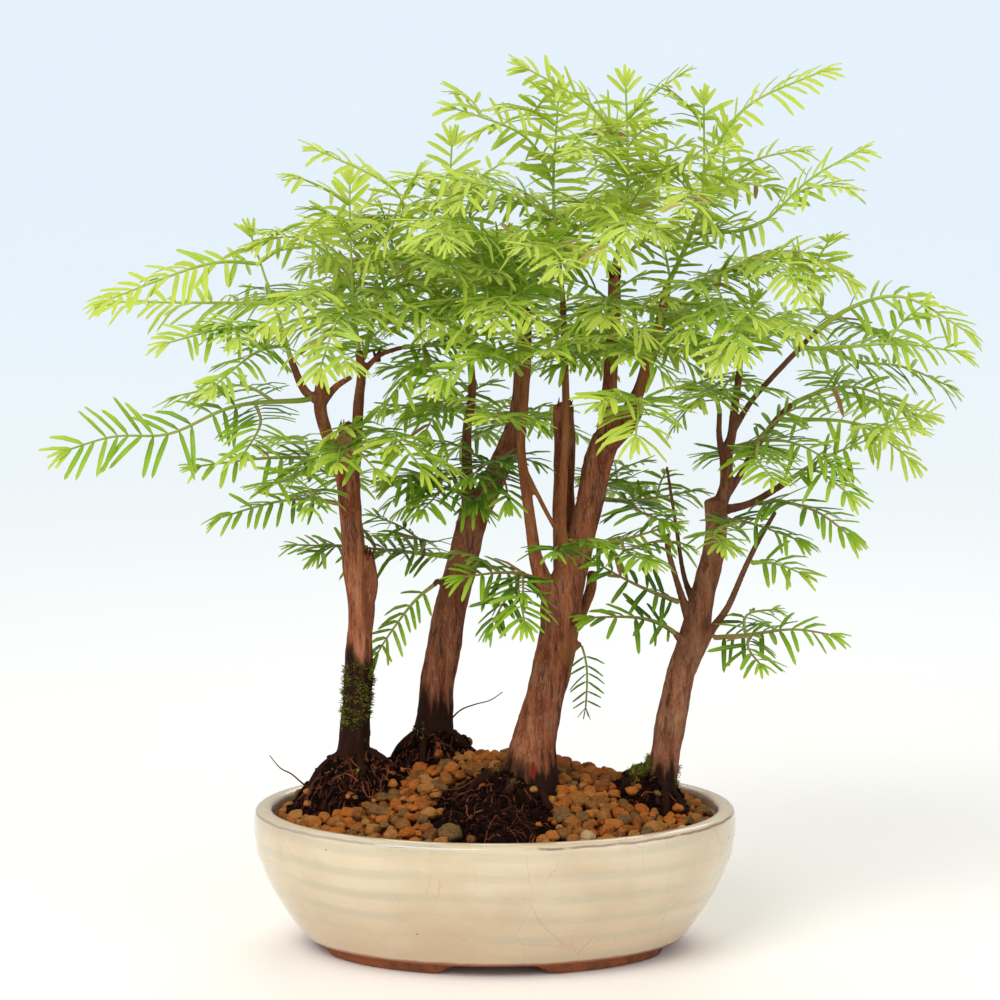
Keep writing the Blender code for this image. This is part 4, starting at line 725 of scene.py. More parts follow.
def add_tube(shape, centres, radii, sides, values, finish=0):
    """Adds a closed round tube along its centres, with its points' values for each ring."""
    tangent = (centres[1] - centres[0]).normalized()
    normal = tangent.orthogonal().normalized()
    rings = []
    for index, centre in enumerate(centres):
        before = centres[max(index - 1, 0)]
        after = centres[min(index + 1, len(centres) - 1)]
        tangent = (after - before).normalized()
        normal = (normal - tangent * normal.dot(tangent)).normalized()
        beside = tangent.cross(normal)
        ring = []
        for side in range(sides):
            angle = FULL_TURN * side / sides
            out = normal * math.cos(angle) + beside * math.sin(angle)
            ring.append(shape.add(centre + out * radii[index], *values[index]))
        rings.append(ring)
    for first, second in zip(rings, rings[1:]):
        shape.band(first, second, finish)
    start = shape.add(centres[0], *values[0])
    end = shape.add(centres[-1] + tangent * radii[-1] * 0.4, *values[-1])
    for side in range(sides):
        after = (side + 1) % sides
        shape.face((start, rings[0][after], rings[0][side]), finish)
        shape.face((end, rings[-1][side], rings[-1][after]), finish)


class Rods:
    """The limbs and stems placed so far, as tapering rods, to keep the branches apart."""

    def __init__(self):
        self.owners = []
        self.rows = []
        self.refresh()

    def add(self, owner, start, end, start_radius, end_radius):
        """Adds one rod of a branch."""
        self.owners.append(owner)
        self.rows.append((*start, *end, start_radius, end_radius))

    def refresh(self):
        """Brings the table up to date."""
        self.table = np.array(self.rows)
        self.owner_names = np.array(self.owners)

    def gap(self, owner, start, end, start_radius, end_radius):
        """The clear distance from a rod to the nearest rod of another branch, and the way to it."""
        table = self.table[self.owner_names != owner]
        start = np.array(start)
        own = np.array(end) - start
        other = table[:, 3:6] - table[:, 0:3]
        between = start - table[:, 0:3]
        own_square = max(own @ own, 1e-9)
        other_square = np.maximum((other * other).sum(axis=1), 1e-9)
        other_way = (other * between).sum(axis=1)
        own_way = between @ own
        shared = other @ own
        spread = np.maximum(own_square * other_square - shared * shared, 1e-9)
        on_own = np.clip((shared * other_way - own_way * other_square) / spread, 0.0, 1.0)
        on_other = np.clip((shared * on_own + other_way) / other_square, 0.0, 1.0)
        on_own = np.clip((shared * on_other - own_way) / own_square, 0.0, 1.0)
        offset = between + on_own[:, None] * own - on_other[:, None] * other
        distance = np.linalg.norm(offset, axis=1)
        radii = start_radius + (end_radius - start_radius) * on_own
        radii = radii + table[:, 6] + (table[:, 7] - table[:, 6]) * on_other
        nearest = int(np.argmin(distance - radii))
        return (distance - radii)[nearest], Vector(offset[nearest])


def bend_clear(owner, route, rods, free_points):
    """Bends a route away from the limbs and shoots of other branches, and ends it where it can't pass."""
    for _ in range(BEND_ROUNDS):
        for index in range(free_points, len(route)):
            gap, offset = rods.gap(owner, route[index], route[index], SHOOT_RADIUS, SHOOT_RADIUS)
            if gap < CORE_CLEARANCE:
                push = offset.normalized() if offset.length > 0.01 else Vector((0, 0, 1))
                route[index] = route[index] + push * min(BEND_STEP, CORE_CLEARANCE - gap)
        for index in range(free_points, len(route) - 1):
            middle = (route[index - 1] + route[index + 1]) / 2
            route[index] = route[index].lerp(middle, 0.3)
    for index in range(free_points + 1, len(route)):
        gap, _ = rods.gap(owner, route[index - 1], route[index], SHOOT_RADIUS, SHOOT_RADIUS)
        if gap < 2 * GAP:
            return route[:index]
    return route


def fan_frame(direction, lean):
    """The normal and the sideways direction of a needle fan."""
    angle = math.radians(lean)
    upward = Vector((0.0, -math.sin(angle), math.cos(angle)))
    normal = (upward - direction * upward.dot(direction)).normalized()
    return normal, direction.cross(normal)


def seated_route(route, wood_surface):
    """Cuts a stem's route off where it comes clear of the limb that bears it."""
    marks = lengths(route)
    start = 0.0
    index = 0
    while index * SEAT_STEP < start + SEAT_CLEAR_RUN:
        point, direction = at_length(route, marks, index * SEAT_STEP)
        normal, sideways = fan_frame(direction, 0.0)
        probes = [point] + [
            point + (normal * math.cos(angle) + sideways * math.sin(angle)) * STEM_RADIUS
            for angle in SEAT_PROBES]
        for probe in probes:
            near, facing, _, distance = wood_surface.find_nearest(probe * MM)
            inside = (probe * MM - near).dot(facing) < 0.0
            if inside or distance < (GAP + 0.05) * MM:
                start = (index + 1) * SEAT_STEP
        index += 1
    point, _ = at_length(route, marks, start)
    return [point] + [spot for spot, mark in zip(route, marks) if mark > start + 1.0]


def plan_spray(spray, rods, wood_surface):
    """The routes of a spray's stem and shoots, bent clear of what is already placed."""
    stem = seated_route(smooth_route(spray.stem, STEM_SPACING), wood_surface)
    stem = bend_clear(spray.name, stem, rods, 1)
    routes = [(stem, STEM_RADIUS, spray.leafy_from * lengths(stem)[-1], spray.lean)]
    routes += shoot_routes(spray, stem, spray.shoots, rods)
    add_rods(spray, routes, rods)
    return routes


def shoot_routes(spray, stem, shoots, rods):
    """The routes of shoots that leave a stem, without those that find no room."""
    marks = lengths(stem)
    routes = []
    for shoot in shoots:
        start, _ = at_length(stem, marks, shoot.share * marks[-1])
        route = smooth_route((start,) + shoot.route, STEM_SPACING)
        route = bend_clear(spray.name, route, rods, 2)
        if len(route) > 3:
            routes.append((route, SHOOT_RADIUS, SHOOT_BARE, shoot.lean))
    return routes


def add_rods(spray, routes, rods):
    """Takes the room of a spray's routes."""
    for route, radius, _, _ in routes:
        for first, last in zip(route, route[1:]):
            rods.add(spray.name, first, last, radius, radius)
        direction = (route[-1] - route[-2]).normalized()
        rods.add(spray.name, route[-1], route[-1] + direction * TIP_NEEDLE, *TIP_NEEDLE_RADII)
    rods.refresh()


# Ground


def ground_height(x, y):
    """Height of the gravel's middle surface."""
    reach = GROUND_FRONT_REACH if y < GROUND_TOP_Y else GROUND_BACK_REACH
    outward = math.sqrt((x / GROUND_HALF_WIDTH) ** 2 + ((y - GROUND_TOP_Y) / reach) ** 2 + 0.01)
    return GROUND_EDGE + GROUND_RISE * (1.0 - outward ** GROUND_POWER)


def soil_height(x, y):
    """Height of the soil: under the gravel, and up to bare mounds round the trunks."""
    lift = 0.0
    for mound in MOUNDS:
        away = ((x - mound.x) / mound.half_width) ** 2 + ((y - mound.y) / mound.half_depth) ** 2
        if away < 1.0:
            lift = max(lift, (GRAVEL_DEPTH + mound.rise) * (1.0 - away) ** 1.5)
    return ground_height(x, y) - GRAVEL_DEPTH + lift


def bareness(x, y):
    """Above 1 under the gravel, and under 1 on the bare mounds round the trunks."""
    nearest = 9.0
    for mound in MOUNDS:
        across = (x - mound.x) / (mound.half_width * BARE_SHARE)
        along = (y - mound.y) / (mound.half_depth * BARE_SHARE)
        nearest = min(nearest, math.hypot(across, along))
    return nearest + 0.10 * noise.noise(Vector((x * 0.12, y * 0.12, 3.0)))


def rough_soil_height(x, y):
    """Height of the soil with its lumps and fibres."""
    lumps = noise.noise(Vector((x * 0.16, y * 0.16, 1.0)))
    crumbs = noise.noise(Vector((x * 0.55, y * 0.55, 2.0)))
    fibres = abs(noise.noise(Vector((x * 0.31, y * 0.31, 7.0))))
    return soil_height(x, y) + SOIL_ROUGHNESS * (lumps + 0.6 * crumbs - 0.9 * fibres + 0.2)


def inside_tray(x, y, radius):
    """Whether a place lies inside the oval of that half-depth."""
    return (x / (radius + TRAY_EXTRA_LENGTH)) ** 2 + (y / radius) ** 2 < 1.0


def oval_point(radius, angle, height):
    """A point on the tray's oval of that half-depth."""
    stretch = 1.0 + TRAY_EXTRA_LENGTH / max(radius, TRAY_FLOOR_RADIUS)
    return Vector((radius * math.cos(angle) * stretch, radius * math.sin(angle), height))


def ripple(radius, angle, height):
    """How far the potter's hand left a place of the wall out of true."""
    low, high = THROWING_RING_HEIGHTS
    place = Vector((math.cos(angle) * 1.3, math.sin(angle) * 1.3, height * 0.025))
    wobble = HAND_WOBBLE * noise.noise(place)
    if radius < TRAY_INSIDE[-1][0] + 4.0 or not low < height < high:
        return wobble if height > low else 0.0
    drift = 1.5 * noise.noise(place + Vector((5.0, 0.0, 0.0)))
    return wobble + THROWING_RING_DEPTH * math.sin(FULL_TURN * height / THROWING_RING_PITCH + drift)


def notch_height(x, y):
    """How high the foot ring is cut away at a place, to leave four feet."""
    inner, outer = FOOT_NOTCH_FRONT
    away = abs(x)
    if abs(x) > abs(y):
        inner, outer = FOOT_NOTCH_SIDE
        away = abs(y)
    return FOOT_NOTCH_HEIGHT * min(1.0, max(0.0, (outer - away) / (outer - inner)))


def tray_profile():
    """The tray's profile in small steps, from the middle of its floor round to its underside."""
    profile = [Vector((0.0, TRAY_FLOOR_TOP)), Vector((20.0, TRAY_FLOOR_TOP))]
    for part in (TRAY_INSIDE, TRAY_RIM, TRAY_OUTSIDE):
        profile += smooth_route(part, TRAY_PROFILE_STEP)
    profile += [Vector(point) for point in TRAY_FOOT]
    profile += [Vector((20.0, TRAY_FLOOR_UNDERSIDE)), Vector((0.0, TRAY_FLOOR_UNDERSIDE))]
    return profile


def make_tray(glaze, clay):
    """The oval tray: glazed outside and over the rim, with a bare clay foot ring in four feet."""
    shape = Shape()
    rings = []
    profile = tray_profile()
    for radius, height in profile[1:-1]:
        ring = []
        for step in range(TRAY_STEPS):
            angle = FULL_TURN * step / TRAY_STEPS
            point = oval_point(radius + ripple(radius, angle, height), angle, height)
            if height < FOOT_TOP:
                point.z = max(height, notch_height(point.x, point.y))
            ring.append(shape.add(point))
        rings.append(ring)
    for index, (first, second) in enumerate(zip(rings, rings[1:])):
        bare = index < CLAY_RINGS or profile[index + 1].y <= CLAY_TOP
        shape.band(first, second, 1 if bare else 0)
    for ring, height in ((rings[0], TRAY_FLOOR_TOP), (rings[-1], TRAY_FLOOR_UNDERSIDE)):
        shape.fan(shape.add(Vector((0.0, 0.0, height))), ring, 1)
    tray = working_object("tray_blank", shape.mesh("tray_blank"))
    for side in (-1, 1):
        cut_hole(tray, side * DRAIN_HOLE_X)
    add_piece("glazed_tray", settled(tray), (glaze, clay), ("tray",))


def cut_hole(tray, x):
    """Cuts a round drain hole through the floor."""
    work = bmesh.new()
    bmesh.ops.create_cone(work, cap_ends=True, segments=32, radius1=DRAIN_HOLE_RADIUS * MM,
                          radius2=DRAIN_HOLE_RADIUS * MM, depth=DRAIN_CUT_DEPTH * MM)
    bmesh.ops.translate(work, verts=work.verts, vec=Vector((x, 0.0, DRAIN_CUT_DEPTH / 2)) * MM)
    mesh = bpy.data.meshes.new("drain_hole_cut")
    work.to_mesh(mesh)
    work.free()
    cutter = working_object("drain_hole_cut", mesh)
    modifier = tray.modifiers.new("Drain hole", "BOOLEAN")
    modifier.operation = "DIFFERENCE"
    modifier.solver = "MANIFOLD"
    modifier.object = cutter
    graph = bpy.context.evaluated_depsgraph_get()
    tray.data = bpy.data.meshes.new_from_object(tray.evaluated_get(graph))
    tray.modifiers.clear()
    bpy.data.objects.remove(cutter, do_unlink=True)


def make_soil(soil):
    """The dark soil, lumpy where it shows, down to the tray's floor."""
    shape = Shape()
    count = round(SOIL_EDGE_RADIUS / SOIL_RING_PITCH)
    rings = []
    for index in range(1, count + 1):
        radius = SOIL_EDGE_RADIUS * index / count
        ring = []
        for step in range(SOIL_STEPS):
            point = oval_point(radius, FULL_TURN * step / SOIL_STEPS, 0.0)
            point.z = rough_soil_height(point.x, point.y)
            if bareness(point.x, point.y) > 1.0:
                point.z -= SOIL_UNDER_GRAVEL
            ring.append(shape.add(point))
        rings.append(ring)
    for radius, height in TRAY_INSIDE[-3::-1]:
        ring = [
            shape.add(oval_point(radius - 0.4, FULL_TURN * step / SOIL_STEPS, height + 0.4))
            for step in range(SOIL_STEPS)]
        rings.append(ring)
    for first, second in zip(rings, rings[1:]):
        shape.band(first, second)
    top = shape.add(Vector((0.0, 0.0, rough_soil_height(0.0, 0.0))))
    floor = shape.add(Vector((0.0, 0.0, TRAY_FLOOR_TOP + 0.4)))
    shape.fan(top, rings[0])
    shape.fan(floor, rings[-1])
    add_piece("potting_soil", shape.mesh("potting_soil"), (soil,), ("soil",))


def stone_points(rounds):
    """The points and faces of a ball, to be worn into stones."""
    work = bmesh.new()
    bmesh.ops.create_icosphere(work, subdivisions=rounds, radius=1.0)
    points = [vertex.co.copy() for vertex in work.verts]
    faces = [tuple(vertex.index for vertex in face.verts) for face in work.faces]
    work.free()
    return points, faces


def add_stone(shape, ball, centre, radius, draw, traits):
    """Adds one worn, lumpy grain, with its traits and how high each point lies on it."""
    points, faces = ball
    stretch = Vector((draw.uniform(0.85, 1.25), draw.uniform(0.8, 1.1), draw.uniform(0.65, 0.95)))
    turn = draw.uniform(0.0, FULL_TURN)
    tilt = draw.uniform(-0.5, 0.5)
    seed = Vector((draw.uniform(0, 90), draw.uniform(0, 90), draw.uniform(0, 90)))
    flats = [
        (Vector([draw.gauss(0, 1) for _ in range(3)]).normalized(), draw.uniform(0.6, 0.92))
        for _ in range(GRAIN_FLATS)]
    numbers = []
    for point in points:
        worn = point.copy()
        for facing, reach in flats:
            worn -= facing * max(0.0, worn.dot(facing) - reach)
        worn *= 1.13 + 0.20 * noise.noise(point * 1.1 + seed) + 0.17 * noise.noise(point * 2.7 + seed)
        x, y, z = worn.x * stretch.x, worn.y * stretch.y, worn.z * stretch.z
        y, z = y * math.cos(tilt) - z * math.sin(tilt), y * math.sin(tilt) + z * math.cos(tilt)
        x, y = x * math.cos(turn) - y * math.sin(turn), x * math.sin(turn) + y * math.cos(turn)
        numbers.append(shape.add(centre + Vector((x, y, z)) * radius, *traits, z))
    for face in faces:
        shape.face(tuple(numbers[index] for index in face))


def scattered_grains(draw):
    """Places and sizes of the grains, as close as they lie, each as (x, y, radius)."""
    placed = []
    cells = {}
    for attempt in range(GRAIN_TRIES):
        share = 1.0 - attempt / GRAIN_TRIES
        radius = GRAIN_RADII[0] + (GRAIN_RADII[1] - GRAIN_RADII[0]) * share * draw.uniform(0.3, 1.0)
        x, y = (draw.uniform(-half, half) for half in GRAIN_FIELD)
        if not inside_tray(x, y, GRAIN_FIELD_RADIUS - radius) or bareness(x, y) < 1.0:
            continue
        column, row = int(x // GRAIN_CELL), int(y // GRAIN_CELL)
        near = [spot for i in (-1, 0, 1) for j in (-1, 0, 1) for spot in cells.get((column + i, row + j), ())]
        if all(math.hypot(x - spot[0], y - spot[1]) > GRAIN_CLOSENESS * (radius + spot[2]) for spot in near):
            placed.append((x, y, radius))
            cells.setdefault((column, row), []).append((x, y, radius))
    return placed


def make_gravel(grain):
    """Loose baked-clay grains over the soil, on a second layer that shows between them."""
    draw = random.Random("grains")
    ball = stone_points(3)
    small_ball = stone_points(2)
    upper = Shape("tone", "level")
    for x, y, radius in scattered_grains(draw):
        height = ground_height(x, y) + GRAIN_RISE + draw.uniform(-0.5, 0.7)
        shown = ball if radius > SMALL_GRAIN else small_ball
        add_stone(upper, shown, Vector((x, y, height)), radius, draw, (PLAIN_TONES * draw.random(),))
    for _ in range(STRAY_GRAINS):
        add_stray_grain(upper, small_ball, draw)
    for x, y, radius, tone in MARKED_GRAINS:
        centre = Vector((x, y, max(ground_height(x, y), rough_soil_height(x, y)) + 0.3 * radius))
        add_stone(upper, ball, centre, radius, draw, (tone,))
    mesh = upper.mesh("gravel_grains")
    mesh.set_sharp_from_angle(angle=math.radians(GRAIN_EDGE))
    add_piece("gravel_grains", mesh, (grain,), ("gravel",))
    lower = Shape("tone", "level")
    for x, y, radius in scattered_grains(draw):
        height = ground_height(x, y) + GRAIN_RISE - LOWER_GRAIN_DROP
        add_stone(lower, small_ball, Vector((x, y, height)), radius, draw, (PLAIN_TONES * draw.random(),))
    add_piece("lower_grains", lower.mesh("lower_grains"), (grain,))


def place_on_mound(mound, turn, away):
    """The place at a share of the way from a mound's middle to its edge."""
    x = mound.x + mound.half_width * away * math.cos(turn)
    y = mound.y + mound.half_depth * away * math.sin(turn)
    return x, y


def add_stray_grain(shape, ball, draw):
    """Adds a grain that has rolled onto the bare soil."""
    x, y = place_on_mound(draw.choice(MOUNDS), draw.uniform(0.0, FULL_TURN), draw.uniform(0.55, 0.80))
    radius = draw.uniform(1.2, 2.4)
    if inside_tray(x, y, 64.0 - radius):
        centre = Vector((x, y, rough_soil_height(x, y) + radius * 0.3))
        add_stone(shape, ball, centre, radius, draw, (PLAIN_TONES * draw.random(),))


def make_crumbs(soil):
    """Crumbs of soil on the bare mounds."""
    draw = random.Random("crumbs")
    ball = stone_points(1)
    shape = Shape("level")
    for _ in range(CRUMBS):
        mound, turn = draw.choice(MOUNDS), draw.uniform(0.0, FULL_TURN)
        x, y = place_on_mound(mound, turn, 0.85 * math.sqrt(draw.random()))
        radius = draw.uniform(*CRUMB_RADII)
        if inside_tray(x, y, 64.0):
            add_stone(shape, ball, Vector((x, y, rough_soil_height(x, y) + 0.2)), radius, draw, ())
    add_piece("soil_crumbs", shape.mesh("soil_crumbs"), (soil,))


# Wood


def root_route(tree, direction, reach, radius):
    """A surface root from inside the trunk, half sunk along the ground to a thin end."""
    base_x, base_y, _, trunk_radius = TREES[tree]["trunk"][1]
    away = Vector((math.cos(math.radians(direction)), math.sin(math.radians(direction))))
    bend = Vector((-away.y, away.x)) * (2.0 if direction % 2 else -2.0)
    route = [(base_x, base_y, soil_height(base_x, base_y) + 1.5, radius)]
    for share, swing, thin in ((0.65, 0.8, 0.9), (1.0, 0.0, 0.5)):
        length = max(trunk_radius, reach * share)
        x = base_x + away.x * length + bend.x * swing
        y = base_y + away.y * length + bend.y * swing
        rise = radius * thin - ROOT_SINK - ROOT_DIVE * share ** 3
        route.append((x, y, soil_height(x, y) + rise, radius * thin))
    return tuple(route)


def wood_routes(tree):
    """Every limb and root of a tree, as a route of (x, y, z, radius)."""
    routes = list(TREES[tree].values())
    for owner, direction, reach, radius in ROOTS:
        if owner == tree:
            routes.append(root_route(tree, direction, reach, radius))
    return routes


def flute(place, radius):
    """How far the bark stands out at a place: long strips on thick wood, and none on twigs."""
    thick = min(1.0, max(0.0, (radius - 1.2) / 3.5))
    strips = noise.noise(Vector((place.x * 0.55, place.y * 0.55, place.z * 0.07)))
    strips += 0.6 * noise.noise(Vector((place.x * 1.3, place.y * 1.3, place.z * 0.16)))
    lumps = noise.noise(Vector((place.x * 0.13, place.y * 0.13, place.z * 0.08)))
    return thick * (BARK_STRIPS * strips + BARK_LUMPS * lumps)


def grown_wood(tree):
    """A tree's trunk, limbs and surface roots grown into one skin, and the middles of its limbs."""
    shape = Shape()
    middles = []
    for route in wood_routes(tree):
        centres = smooth_route(route, ROUTE_STEP)
        radii = [max(0.7, centre.w) for centre in centres]
        centres = [centre.to_3d() for centre in centres]
        middles += list(zip(centres, radii))
        sides = 24 if max(radii) > 4.0 else 12
        add_tube(shape, centres, radii, sides, [()] * len(centres))
    blank = working_object(tree + "_blank", shape.mesh(tree + "_blank"))
    grown = blank.modifiers.new("Grown together", "REMESH")
    grown.mode = "VOXEL"
    grown.voxel_size = BARK_VOXEL * MM
    eased = blank.modifiers.new("Eased", "SMOOTH")
    eased.factor = 0.5
    eased.iterations = 3
    return settled(blank), middles


def make_bark(tree, bark):
    """A tree's wood with the bark's relief, and a number at each point that tells twigs from trunks."""
    mesh, middles = grown_wood(tree)
    finder = KDTree(len(middles))
    for index, (centre, _) in enumerate(middles):
        finder.insert(centre, index)
    finder.balance()
    slender = []
    places = []
    for vertex in mesh.vertices:
        place = vertex.co / MM
        radius = middles[finder.find(place)[1]][1]
        slender.append(min(1.0, max(0.0, (3.2 - radius) / 2.2)))
        places.append(place + vertex.normal * flute(place, radius))
    mesh.vertices.foreach_set("co", to_metres(places).ravel())
    layer = mesh.attributes.new("slender", "FLOAT", "POINT")
    layer.data.foreach_set("value", slender)
    return add_piece(tree + "_bark", mesh, (bark,), (tree + "_wood",))


def make_rootlets(rootlet):
    """Fine roots that creep over the soil from each trunk, and a few that stand off it."""
    draw = random.Random("rootlets")
    shape = Shape("tone")
    for limbs in TREES.values():
        base_x, base_y, _, trunk_radius = limbs["trunk"][1]
        for _ in range(ROOTLETS_PER_TREE):
            heading = draw.uniform(0.0, FULL_TURN)
            away = trunk_radius + draw.uniform(-2.0, 8.0)
            x = base_x + away * math.cos(heading)
            y = base_y + away * math.sin(heading)
            heading += draw.uniform(-1.3, 1.3)
            add_creeping_root(shape, x, y, heading, draw)
    for x, y, half_width, half_depth, count in FIBRE_MATS:
        for _ in range(count):
            start = (x + draw.uniform(-half_width, half_width), y + draw.uniform(-half_depth, half_depth))
            add_creeping_root(shape, *start, draw.uniform(0.0, FULL_TURN), draw)
    for x, y, z, radius in BROKEN_ENDS:
        add_splinters(shape, Vector((x, y, z)), radius, draw)
    for route in STRAY_ROOTS:
        centres = smooth_route(route, 1.5)
        radii = [0.42 - 0.25 * index / len(centres) for index in range(len(centres))]
        add_tube(shape, centres, radii, 6, [(0.3,)] * len(centres))
    add_piece("fine_roots", shape.mesh("fine_roots"), (rootlet,))


def add_splinters(shape, middle, radius, draw):
    """Adds the torn slivers that stand round a broken end."""
    for step in range(11):
        turn = FULL_TURN * (step + draw.uniform(-0.3, 0.3)) / 11
        rim = middle + Vector((math.cos(turn), math.sin(turn), 0.0)) * radius * draw.uniform(0.5, 1.0)
        lean = Vector((draw.gauss(0.0, 0.6), draw.gauss(0.0, 0.6), draw.uniform(1.2, 4.2)))
        centres = [rim - Vector((0.0, 0.0, 1.5)), rim + lean * 0.4, rim + lean]
        add_tube(shape, centres, [0.62, 0.45, 0.1], 5, [(draw.uniform(0.2, 0.7),)] * 3)


def add_creeping_root(shape, x, y, heading, draw):
    """Adds one fine root that wanders over the ground and thins out."""
    thick = draw.choice((0.13, 0.16, 0.2, 0.26, 0.42)) * draw.uniform(0.8, 1.2)
    steps = round(draw.uniform(8, 26))
    lift = draw.uniform(0.0, 1.0)
    centres = []
    radii = []
    for step in range(steps):
        if not inside_tray(x, y, 63.0):
            break
        wave = lift * math.sin(math.pi * step / steps)
        dip = 0.9 * math.sin(0.8 * step + 6.0 * lift) - 0.3
        centres.append(Vector((x, y, rough_soil_height(x, y) + thick * dip + wave)))
        radii.append(thick * (1.0 - 0.7 * step / steps))
        heading += draw.uniform(-0.62, 0.62)
        x += 1.5 * math.cos(heading)
        y += 1.5 * math.sin(heading)
    if len(centres) > 3:
        tone = draw.random() ** 1.5
        add_tube(shape, centres, radii, 5, [(tone,)] * len(centres))


def make_moss(barks, moss):
    """Moss cushions on the trunks' feet and on the soil."""
    draw = random.Random("moss")
    shape = Shape("tone")
    for tree, centre, reach, count, on_bark in MOSS_PATCHES:
        near = [
            vertex for vertex in barks[tree].data.vertices
            if (vertex.co / MM - Vector(centre)).length < reach and vertex.normal.y < 0.35]
        for _ in range(count):
            if near and draw.random() < on_bark:
                vertex = draw.choice(near)
                add_tuft(shape, vertex.co / MM, vertex.normal, draw)
            else:
                x = centre[0] + draw.gauss(0.0, reach * 0.35)
                y = centre[1] - 2.0 + draw.gauss(0.0, reach * 0.3)
                if inside_tray(x, y, 62.0):
                    place = Vector((x, y, rough_soil_height(x, y)))
                    add_tuft(shape, place, Vector((0.0, 0.0, 1.0)), draw)
    add_piece("moss", shape.mesh("moss"), (moss,), smooth=False)


def add_tuft(shape, place, normal, draw):
    """Adds one tuft of tiny pointed leaves."""
    tone = draw.random()
    for _ in range(9):
        way = (normal + Vector((draw.gauss(0, 0.55), draw.gauss(0, 0.55), draw.gauss(0, 0.45)))).normalized()
        beside = way.orthogonal().normalized() * 0.22
        third = way.cross(beside)
        root = place - normal * 0.2 + Vector((draw.gauss(0, 0.5), draw.gauss(0, 0.3), draw.gauss(0, 0.5)))
        reach = draw.uniform(0.8, 1.9)
        base = [
            shape.add(root + beside, tone), shape.add(root - beside * 0.5 + third * 0.87, tone),
            shape.add(root - beside * 0.5 - third * 0.87, tone)]
        tip = shape.add(root + way * reach + Vector((0.0, 0.0, 0.2)), tone)
        shape.face((base[0], base[1], tip))
        shape.face((base[1], base[2], tip))
        shape.face((base[2], base[0], tip))
        shape.face((base[2], base[1], base[0]))


# Foliage


def add_blade(shape, base, way, normal, length, width, bend, youth, dry, finish=1):
    """Adds one flat needle: narrow at its foot, channelled along its midrib, round at its tip."""
    rings = []
    edge_way = way.cross(normal).normalized()
    for share, breadth in NEEDLE_PROFILE:
        centre = base + (way + bend * share) * (length * share)
        half = edge_way * (width * 0.5 * breadth)
        lift = normal * (width * NEEDLE_CHANNEL * breadth)
        under = normal * (NEEDLE_THICKNESS * (0.45 + 0.55 * breadth))
        rings.append((
            shape.add(centre - half + lift, youth, 1.0, dry, share),
            shape.add(centre, youth, 0.0, dry, share),
            shape.add(centre + half + lift, youth, 1.0, dry, share),
            shape.add(centre - under, youth, 0.0, dry, share)))
    for first, second in zip(rings, rings[1:]):
        shape.band(first, second, finish)
    tip = shape.add(base + (way + bend) * length, youth, 0.6, dry, 1.0)
    shape.fan(tip, rings[-1], finish)
    shape.face(rings[0][::-1], finish)


def needle_bend(way, face, curl, draw):
    """How far a needle's tip is carried off its straight line, in needle lengths."""
    sag = draw.uniform(*NEEDLE_SAG) * math.hypot(way.x, way.y)
    return face * -curl - Vector((0.0, 0.0, sag))


def shoot_radius(base_radius, share):
    """How thick a shoot is at a share of its length: it slims most near its start."""
    return TIP_RADIUS + (base_radius - TIP_RADIUS) * (1.0 - share) ** SLIMMING


def add_needle(shape, point, direction, fan, side, along, radius, youth, draw, habit, scale):
    """Adds one needle of a shoot's two ranks, on the left or the right of its fan."""
    normal, sideways = fan
    spread = math.radians(FAN_SPREAD - FAN_CLOSING * along ** 2 + draw.gauss(0.0, FAN_UNEVENNESS))
    tilt = draw.gauss(0.08, 0.17)
    way = sideways * (side * math.sin(spread)) + direction * math.cos(spread) + normal * tilt
    way.normalize()
    roll = draw.gauss(0.0, 0.3) + 0.18 * side
    face = (normal - way * normal.dot(way)).normalized()
    face = (face + direction * roll).normalized()
    face = (face - way * face.dot(way)).normalized()
    fullness = SHORTEST + (1.0 - SHORTEST) * math.sin(math.pi * min(1.0, 0.12 + 0.86 * along) ** 0.8)
    length = NEEDLE_LENGTH * habit.length * scale * fullness * draw.uniform(*LENGTH_RANGE)
    width = NEEDLE_WIDTH * habit.width * draw.uniform(*WIDTH_RANGE) * (0.82 + 0.18 * fullness)
    age_and_shade = min(1.0, max(0.0, youth + 0.30 * along - 0.12 + draw.gauss(0.0, 0.09)))
    dry = draw.uniform(0.5, 1.0) if draw.random() < DRY_SHARE else 0.0
    base = point + sideways * (side * 0.6 * radius)
    bend = needle_bend(way, face, draw.gauss(0.08, 0.09), draw)
    add_blade(shape, base, way, face, length, width, bend, age_and_shade, dry)


def add_shoot_skin(shape, route, base_radius, youth):
    """Adds the green stem of a shoot, that slims to its tip."""
    smooth = smooth_route(route, SKIN_SPACING)
    marks = lengths(smooth)
    radii = [shoot_radius(base_radius, mark / marks[-1]) for mark in marks]
    radii[0] *= 0.5
    add_tube(shape, smooth, radii, 6, [(youth, 0.5, 0.0, -1.0)] * len(smooth))


def add_leafy_shoot(shape, route, base_radius, leafy_from, lean, youth, draw, habit, scale=1.0):
    """Adds a shoot with its two ranks of needles and the tuft of young ones at its end."""
    marks = lengths(route)
    total = marks[-1]
    bare = min(leafy_from, total * 0.9)
    add_shoot_skin(shape, route, base_radius, youth)
    mark = bare + 0.8
    turn = draw.uniform(-6.0, 6.0)
    while mark < total - 0.5:
        along = (mark - bare) / max(total - bare, 1.0)
        point, direction = at_length(route, marks, mark)
        fan = fan_frame(direction, lean + turn)
        radius = shoot_radius(base_radius, mark / total)
        for side in (-1.0, 1.0):
            if draw.random() >= LOST_SHARE:
                add_needle(shape, point, direction, fan, side, along, radius, youth, draw, habit, scale)
        mark += NEEDLE_PITCH * habit.pitch * draw.uniform(*PITCH_RANGE)
    add_end_tuft(shape, route, marks, lean, youth, draw, scale * habit.length)


